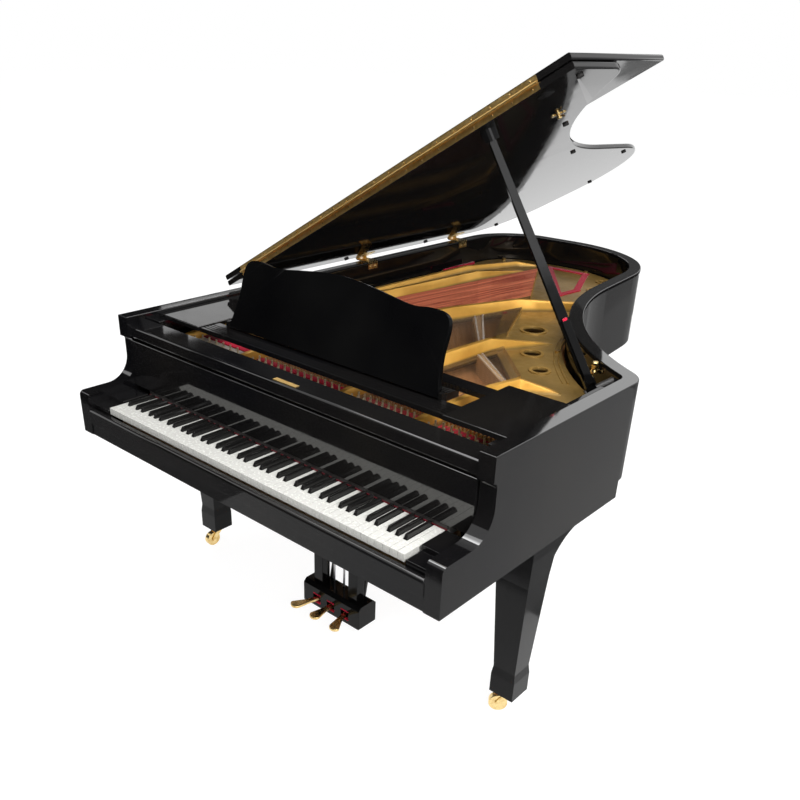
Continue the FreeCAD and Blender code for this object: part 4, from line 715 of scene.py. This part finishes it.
def screw_head(bm, place, axis, radius):
    """A domed head in two halves, with the driver's slot open between them."""
    turn = axis.to_track_quat("Z", "Y")
    for start in (0, math.pi):
        rings = []
        for share, rise in HEAD_PROFILE:
            gap = math.asin(SLOT_SHARE / share)
            ring = []
            for k in range(HEAD_ARC + 1):
                angle = start + gap + (math.pi - 2 * gap) * k / HEAD_ARC
                corner = on_circle(share, angle, rise) * radius * MM
                ring.append(bm.verts.new(place + turn @ corner))
            rings.append(ring)
        bridged(bm, rings)


def soft_block(bm, low, high, radius):
    """A block with rounded edges between two corners."""
    middle = (low + high) / 2
    size = high - low
    grown = Matrix.Translation(middle) @ Matrix.Diagonal((*size, 1))
    made = bmesh.ops.create_cube(bm, size=1, matrix=grown)
    edges = list({e for v in made["verts"] for e in v.link_edges})
    bmesh.ops.bevel(
        bm, geom=edges, offset=radius * MM, segments=BLOCK_EDGE_STEPS, affect="EDGES", profile=0.5
    )


def piece(name, body, material, build):
    """A piece of the object, on one of its bodies, with one material."""
    bm = bmesh.new()
    build(bm)
    bmesh.ops.recalc_face_normals(bm, faces=bm.faces)
    mesh = bpy.data.meshes.new(name)
    bm.to_mesh(mesh)
    bm.free()
    mesh.shade_smooth()
    mesh.set_sharp_from_angle(angle=SHARP_EDGE)
    made = bpy.data.objects.new(name, mesh)
    bpy.context.scene.collection.objects.link(made)
    mesh.materials.append(material)
    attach(made, body)
    return made


def corners_of(node):
    """The corners of a node in the row frame, rounded so that those in one place are equal."""
    place = NODES[node].matrix_world
    return [tuple(round(c, 6) for c in place @ v.co) for v in NODES[node].data.vertices]


def solids_of(node):
    """The corners of each separate solid of a node."""
    corners = corners_of(node)
    parent = {c: c for c in corners}

    def root(c):
        while parent[c] != c:
            parent[c] = parent[parent[c]]
            c = parent[c]
        return c

    for edge in NODES[node].data.edges:
        a, b = root(corners[edge.vertices[0]]), root(corners[edge.vertices[1]])
        parent[max(a, b)] = min(a, b)
    groups = {}
    for c in parent:
        groups.setdefault(root(c), []).append(Vector(c))
    return [groups[key] for key in sorted(groups)]


def middle_of(corners):
    return sum(corners, Vector()) / len(corners)


def pin_coils(bm):
    """The string wound round each tuning pin."""
    top = PLATE_TOP + STRING_RISE * MM
    for corners in solids_of("tuning_pins"):
        pin = middle_of(corners)
        points = []
        for i in range(COIL_TURNS * COIL_STEPS + 1):
            turns = i / COIL_STEPS
            middle = Vector((pin.x, pin.y, top - 2 * COIL_WIRE * turns * MM))
            points.append(middle + on_circle(COIL_RADIUS * MM, 2 * math.pi * turns))
        tube(bm, points, COIL_WIRE, COIL_SIDES)


def bridge_pins(bm):
    """Steel pins that hold each treble string in line on its bridge."""
    agraffe_y = at(0, AGRAFFE_Y, 0).y
    for corners in solids_of("treble_strings"):
        hitch_y = max(c.y for c in corners)
        end = middle_of([c for c in corners if c.y > hitch_y - NEAR_HITCH * MM])
        start = middle_of([c for c in corners if abs(c.y - agraffe_y) < NEAR_AGRAFFE * MM])
        for share in BRIDGE_PIN_PLACES:
            spot = start.lerp(end, share) + TO_TREBLE * BRIDGE_PIN_STEP * MM
            lathe(bm, spot, UP, BRIDGE_PIN, BRIDGE_PIN_SIDES)


def leaf_screws(height):
    """Screws along one leaf of the flap's hinge, at a height of the closed lid."""

    def build(bm):
        for i in range(LEAF_SCREWS):
            x = LEAF_SCREW_REACH * (2 * i / (LEAF_SCREWS - 1) - 1)
            screw_head(bm, lid_at(x, LEAF_FACE_Y, height), TO_PLAYER, LEAF_SCREW)

    return build


def butt_screws(bm):
    """Screws in the leaves that hold the lid hinges to the inner face of the rim."""
    low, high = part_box("lid_hinges_case")
    for y in (low.y, high.y - BUTT_LENGTH * MM):
        for step in BUTT_SCREW_STEPS:
            spot = Vector((high.x, y + step * MM, low.z + BUTT_SCREW_RISE * MM))
            screw_head(bm, spot, TO_TREBLE, BUTT_SCREW)


def key_felt(bm):
    """The red cloth below the fallboard, behind the keys."""
    low = at(-KEY_FELT_HALF, KEY_FELT_FRONT, KEY_FELT_LOW)
    high = at(KEY_FELT_HALF, KEY_FELT_BACK, KEY_FELT_TOP)
    soft_block(bm, low, high, KEY_FELT_EDGE)


def felt_rail(bm):
    """The black rail that carries the cloth and closes the slot below the fallboard."""
    low = at(-KEY_FELT_HALF, KEY_FELT_BACK, KEY_FELT_LOW)
    high = at(KEY_FELT_HALF, FELT_RAIL_BACK, FELT_RAIL_TOP)
    soft_block(bm, low, high, FELT_RAIL_EDGE)


def string_cloth(bm):
    """Strips of red cloth that lie on the strings behind their pins."""
    for x0, x1, y0, y1, z in STRING_CLOTHS:
        soft_block(bm, at(x0, y0, z), at(x1, y1, z + STRING_CLOTH_THICK), STRING_CLOTH_EDGE)


def bass_felt(bm):
    """The red cloth on the plate along the bass side."""
    soft_block(bm, at(*BASS_FELT_LOW), at(*BASS_FELT_HIGH), BASS_FELT_EDGE)


def hitch_felt(bm):
    """The round of red cloth at the far corner of the middle opening."""
    lathe(bm, on_plate(*HITCH_FELT_AT), UP, HITCH_FELT)


def prop_felt(bm):
    """The red cloth that caps the upper end of the short stick."""
    along = (at(*PROP_HEAD) - at(*PROP_FOOT)).normalized()
    corners = [Vector(c) for c in set(corners_of("prop_short_stick"))]
    reach = max(c.dot(along) for c in corners)
    end = [c for c in corners if c.dot(along) > reach - NEAR_STICK_END * MM]
    middle = middle_of(end)
    sides = sorted((c - middle for c in end), key=lambda d: math.atan2(d.dot(UP), d.dot(TO_PLAYER)))
    rings = []
    for share, lift in PROP_FELT:
        rings.append([bm.verts.new(middle + d * share + along * lift * MM) for d in sides])
    bridged(bm, rings)


def plate_ridge(bm):
    """The raised lines cast in the plate beside the bent side."""
    outer = [on_plate(x, y) for x, y in RIDGE_ARC]
    inner = [p + Vector((*INNER_RIDGE_STEP, 0)) * MM for p in outer]
    tube(bm, outer, RIDGE_RADIUS, RIDGE_SIDES)
    tube(bm, inner, INNER_RIDGE_RADIUS, RIDGE_SIDES)


def rim_post(bm):
    """The turned brass post inside the bent side that the folded prop lies behind."""
    lathe(bm, at(*RIM_POST_AT, RIM_POST_FOOT), UP, RIM_POST)
    stem = [at(*RIM_POST_AT, POST_STEM_Z), at(*POST_STEM_END, POST_STEM_Z)]
    tube(bm, stem, POST_STEM_RADIUS, POST_STEM_SIDES)


def lid_catch(bm):
    """The brass catch under the lid: a stud between two ears, with a bent tongue."""
    x, y = CATCH_AT
    ear_x, ear_y = CATCH_EAR_STEP
    for side in (-1, 1):
        lathe(bm, lid_at(x + ear_x * side, y + ear_y * side, LID_UNDER), LID_DOWN, CATCH_EAR)
    lathe(bm, lid_at(x, y, LID_UNDER), LID_DOWN, CATCH_STUD)
    tongue = [lid_at(x + step, y, LID_UNDER - drop) for step, drop in CATCH_TONGUE]
    tube(bm, tongue, CATCH_TONGUE_RADIUS)


def pedal_felts(bm):
    """Red cloth round the slots that the pedals come out of."""
    for x in PEDAL_XS:
        for z in PEDAL_FELT_ZS:
            low = at(x - PEDAL_FELT_HALF_WIDTH, PEDAL_FELT_FRONT, z - PEDAL_FELT_HALF_THICK)
            high = at(x + PEDAL_FELT_HALF_WIDTH, PEDAL_FELT_BACK, z + PEDAL_FELT_HALF_THICK)
            soft_block(bm, low, high, PEDAL_FELT_EDGE)


def make_pieces():
    piece("pin_coils", "case", STEEL, pin_coils)
    piece("bridge_pins", "case", BRIGHT_STEEL, bridge_pins)
    piece("lid_leaf_screws", "lid", BRASS, leaf_screws(LID_TOP - LEAF_WIDTH / 2))
    piece("flap_leaf_screws", "front_flap", BRASS, leaf_screws(FLAP_UNDER + LEAF_WIDTH / 2))
    piece("butt_screws", "case", BRASS, butt_screws)
    piece("key_felt", "case", DARK_FELT, key_felt)
    piece("felt_rail", "case", SATIN, felt_rail)
    piece("string_cloth", "case", RED_FELT, string_cloth)
    piece("hitch_felt", "case", RED_FELT, hitch_felt)
    piece("prop_felt", "short_prop", RED_FELT, prop_felt)
    piece("bass_felt", "case", RED_FELT, bass_felt)
    piece("plate_ridge", "case", GOLD_IRON, plate_ridge)
    piece("rim_post", "case", BRASS, rim_post)
    piece("lid_catch", "lid", BRASS, lid_catch)
    piece("pedal_felts", "case", RED_FELT, pedal_felts)


def make_camera():
    cam = bpy.data.cameras.new("camera")
    cam.lens = CAMERA_LENS
    cam.sensor_width = CAMERA_SENSOR
    cam.shift_x, cam.shift_y = CAMERA_SHIFT
    cam.clip_start, cam.clip_end = CAMERA_CLIP
    made = bpy.data.objects.new("camera", cam)
    yaw, pitch, roll = CAMERA_YAW, CAMERA_PITCH, CAMERA_ROLL
    ahead = Vector((math.sin(yaw) * math.cos(pitch), math.cos(yaw) * math.cos(pitch), math.sin(pitch)))
    right = Vector((math.cos(yaw), -math.sin(yaw), 0))
    up = right.cross(ahead)
    x_axis = right * math.cos(roll) + up * math.sin(roll)
    y_axis = up * math.cos(roll) - right * math.sin(roll)
    turn = Matrix((x_axis, y_axis, -ahead)).transposed()
    made.matrix_world = Matrix.Translation(at(*CAMERA_PLACE)) @ turn.to_4x4()
    bpy.context.scene.collection.objects.link(made)
    bpy.context.scene.camera = made


def seen_ray(tree):
    """One for rays from the camera, a mirror or glass, and nothing for soft light."""
    path = tree.nodes.new("ShaderNodeLightPath")
    total = path.outputs["Is Camera Ray"]
    for name in ("Is Glossy Ray", "Is Transmission Ray"):
        add = tree.nodes.new("ShaderNodeMath")
        add.operation = "MAXIMUM"
        tree.links.new(total, add.inputs[0])
        tree.links.new(path.outputs[name], add.inputs[1])
        total = add.outputs[0]
    return total


def make_world():
    """White to the eye and in mirrors, with a softer light on the object."""
    world = bpy.data.worlds.new("studio")
    bpy.context.scene.world = world
    world.use_nodes = True
    tree = world.node_tree
    tree.nodes.clear()
    soft = tree.nodes.new("ShaderNodeBackground")
    soft.inputs["Strength"].default_value = WORLD_SOFT
    white = tree.nodes.new("ShaderNodeBackground")
    white.inputs["Color"].default_value = WHITE
    mix = tree.nodes.new("ShaderNodeMixShader")
    tree.links.new(seen_ray(tree), mix.inputs["Fac"])
    tree.links.new(soft.outputs[0], mix.inputs[1])
    tree.links.new(white.outputs[0], mix.inputs[2])
    out = tree.nodes.new("ShaderNodeOutputWorld")
    tree.links.new(mix.outputs[0], out.inputs["Surface"])


def floor_material():
    """Pale floor that is nearly white to the eye and still takes the shadow."""
    made = bpy.data.materials.new("pale_floor")
    made.use_nodes = True
    tree = made.node_tree
    tree.nodes.clear()
    matt = tree.nodes.new("ShaderNodeBsdfDiffuse")
    matt.inputs["Color"].default_value = (FLOOR_TONE, FLOOR_TONE, FLOOR_TONE, 1)
    glow = tree.nodes.new("ShaderNodeEmission")
    glow.inputs["Strength"].default_value = FLOOR_BRIGHT
    share = tree.nodes.new("ShaderNodeMath")
    share.operation = "MULTIPLY"
    share.inputs[1].default_value = FLOOR_GLOW
    tree.links.new(seen_ray(tree), share.inputs[0])
    mix = tree.nodes.new("ShaderNodeMixShader")
    tree.links.new(share.outputs[0], mix.inputs["Fac"])
    tree.links.new(matt.outputs[0], mix.inputs[1])
    tree.links.new(glow.outputs[0], mix.inputs[2])
    out = tree.nodes.new("ShaderNodeOutputMaterial")
    tree.links.new(mix.outputs[0], out.inputs["Surface"])
    return made


def card_material(name, tone):
    """A sheet of even brightness for the lacquer to mirror."""
    made = bpy.data.materials.new(name)
    made.use_nodes = True
    tree = made.node_tree
    tree.nodes.clear()
    glow = tree.nodes.new("ShaderNodeEmission")
    glow.inputs["Color"].default_value = (tone, tone, tone, 1)
    out = tree.nodes.new("ShaderNodeOutputMaterial")
    tree.links.new(glow.outputs[0], out.inputs["Surface"])
    return made


def shade_card_material():
    """Dark sheet seen from above only, painted shade so that the open lid mirrors a dim inside."""
    made = card_material("shade_card", SHADE_CARD_TONE)
    tree = made.node_tree
    clear = tree.nodes.new("ShaderNodeBsdfTransparent")
    side = tree.nodes.new("ShaderNodeNewGeometry")
    share = tree.nodes.new("ShaderNodeMapRange")
    share.inputs["To Min"].default_value = SHADE_CARD_SHARE
    share.inputs["To Max"].default_value = 0
    tree.links.new(side.outputs["Backfacing"], share.inputs["Value"])
    mix = tree.nodes.new("ShaderNodeMixShader")
    tree.links.new(share.outputs["Result"], mix.inputs["Fac"])
    tree.links.new(clear.outputs[0], mix.inputs[1])
    tree.links.new(tree.nodes["Emission"].outputs[0], mix.inputs[2])
    tree.links.new(mix.outputs[0], tree.nodes["Material Output"].inputs["Surface"])
    return made


def panel(name, corners, material):
    """A flat four-cornered sheet of the set, not part of the object."""
    mesh = bpy.data.meshes.new(name)
    mesh.from_pydata(corners, [], [(0, 1, 2, 3)])
    made = bpy.data.objects.new(name, mesh)
    bpy.context.scene.collection.objects.link(made)
    mesh.materials.append(material)
    return made


def card(name, corners, material):
    """A sheet of the set that shows in mirrors only."""
    made = panel(name, corners, material)
    made.visible_camera = False
    made.visible_diffuse = False
    made.visible_shadow = False
    made.visible_transmission = False


def flat_corners(x0, x1, y0, y1, z):
    return [(x0, y0, z), (x1, y0, z), (x1, y1, z), (x0, y1, z)]


def facing_corners(x0, x1, y, z0, z1):
    return [(x0, y, z0), (x1, y, z0), (x1, y, z1), (x0, y, z1)]


def side_corners(x, y0, y1, z0, z1):
    return [(x, y0, z0), (x, y1, z0), (x, y1, z1), (x, y0, z1)]


def make_cards():
    """Bright and dark sheets that give the lacquer its lights and its blacks."""
    for name, (x0, x1, y0, y1, tone) in FLOOR_CARDS.items():
        card(name, flat_corners(x0, x1, y0, y1, CARD_LIFT), card_material(name, tone))
    for name, (x0, x1, y, top, tone) in FACING_CARDS.items():
        card(name, facing_corners(x0, x1, y, 0, top), card_material(name, tone))
    for name, (y0, y1, z0, z1, tone) in LEFT_CARDS.items():
        card(name, side_corners(LEFT_WALL, y0, y1, z0, z1), card_material(name, tone))


def make_shade_card():
    # Painted shade: a dark sheet over the strings for the open lid to mirror
    low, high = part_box("iron_plate")
    front = at(0, SHADE_CARD_FRONT, 0).y
    height = RIM_HIGH.z - SHADE_CARD_DROP * MM
    card("shade_card", flat_corners(low.x, high.x, front, high.y, height), shade_card_material())


def make_lamps():
    for name, (place, target, size, power, mirrored) in LAMPS.items():
        lamp = bpy.data.lights.new(name, "AREA")
        lamp.shape = "SQUARE"
        lamp.size = size
        lamp.energy = power
        made = bpy.data.objects.new(name, lamp)
        made.location = place
        made.rotation_euler = (Vector(target) - Vector(place)).to_track_quat("-Z", "Y").to_euler()
        bpy.context.scene.collection.objects.link(made)
        made.visible_camera = False
        made.visible_glossy = mirrored


def make_set():
    floor = flat_corners(-FLOOR_REACH, FLOOR_REACH, -FLOOR_REACH, FLOOR_REACH, 0)
    panel("floor", floor, floor_material())
    make_cards()
    make_shade_card()
    make_lamps()


dress_nodes()
make_pieces()
soften_edges()
make_camera()
make_world()
make_set()
bpy.context.scene.view_settings.view_transform = "Standard"
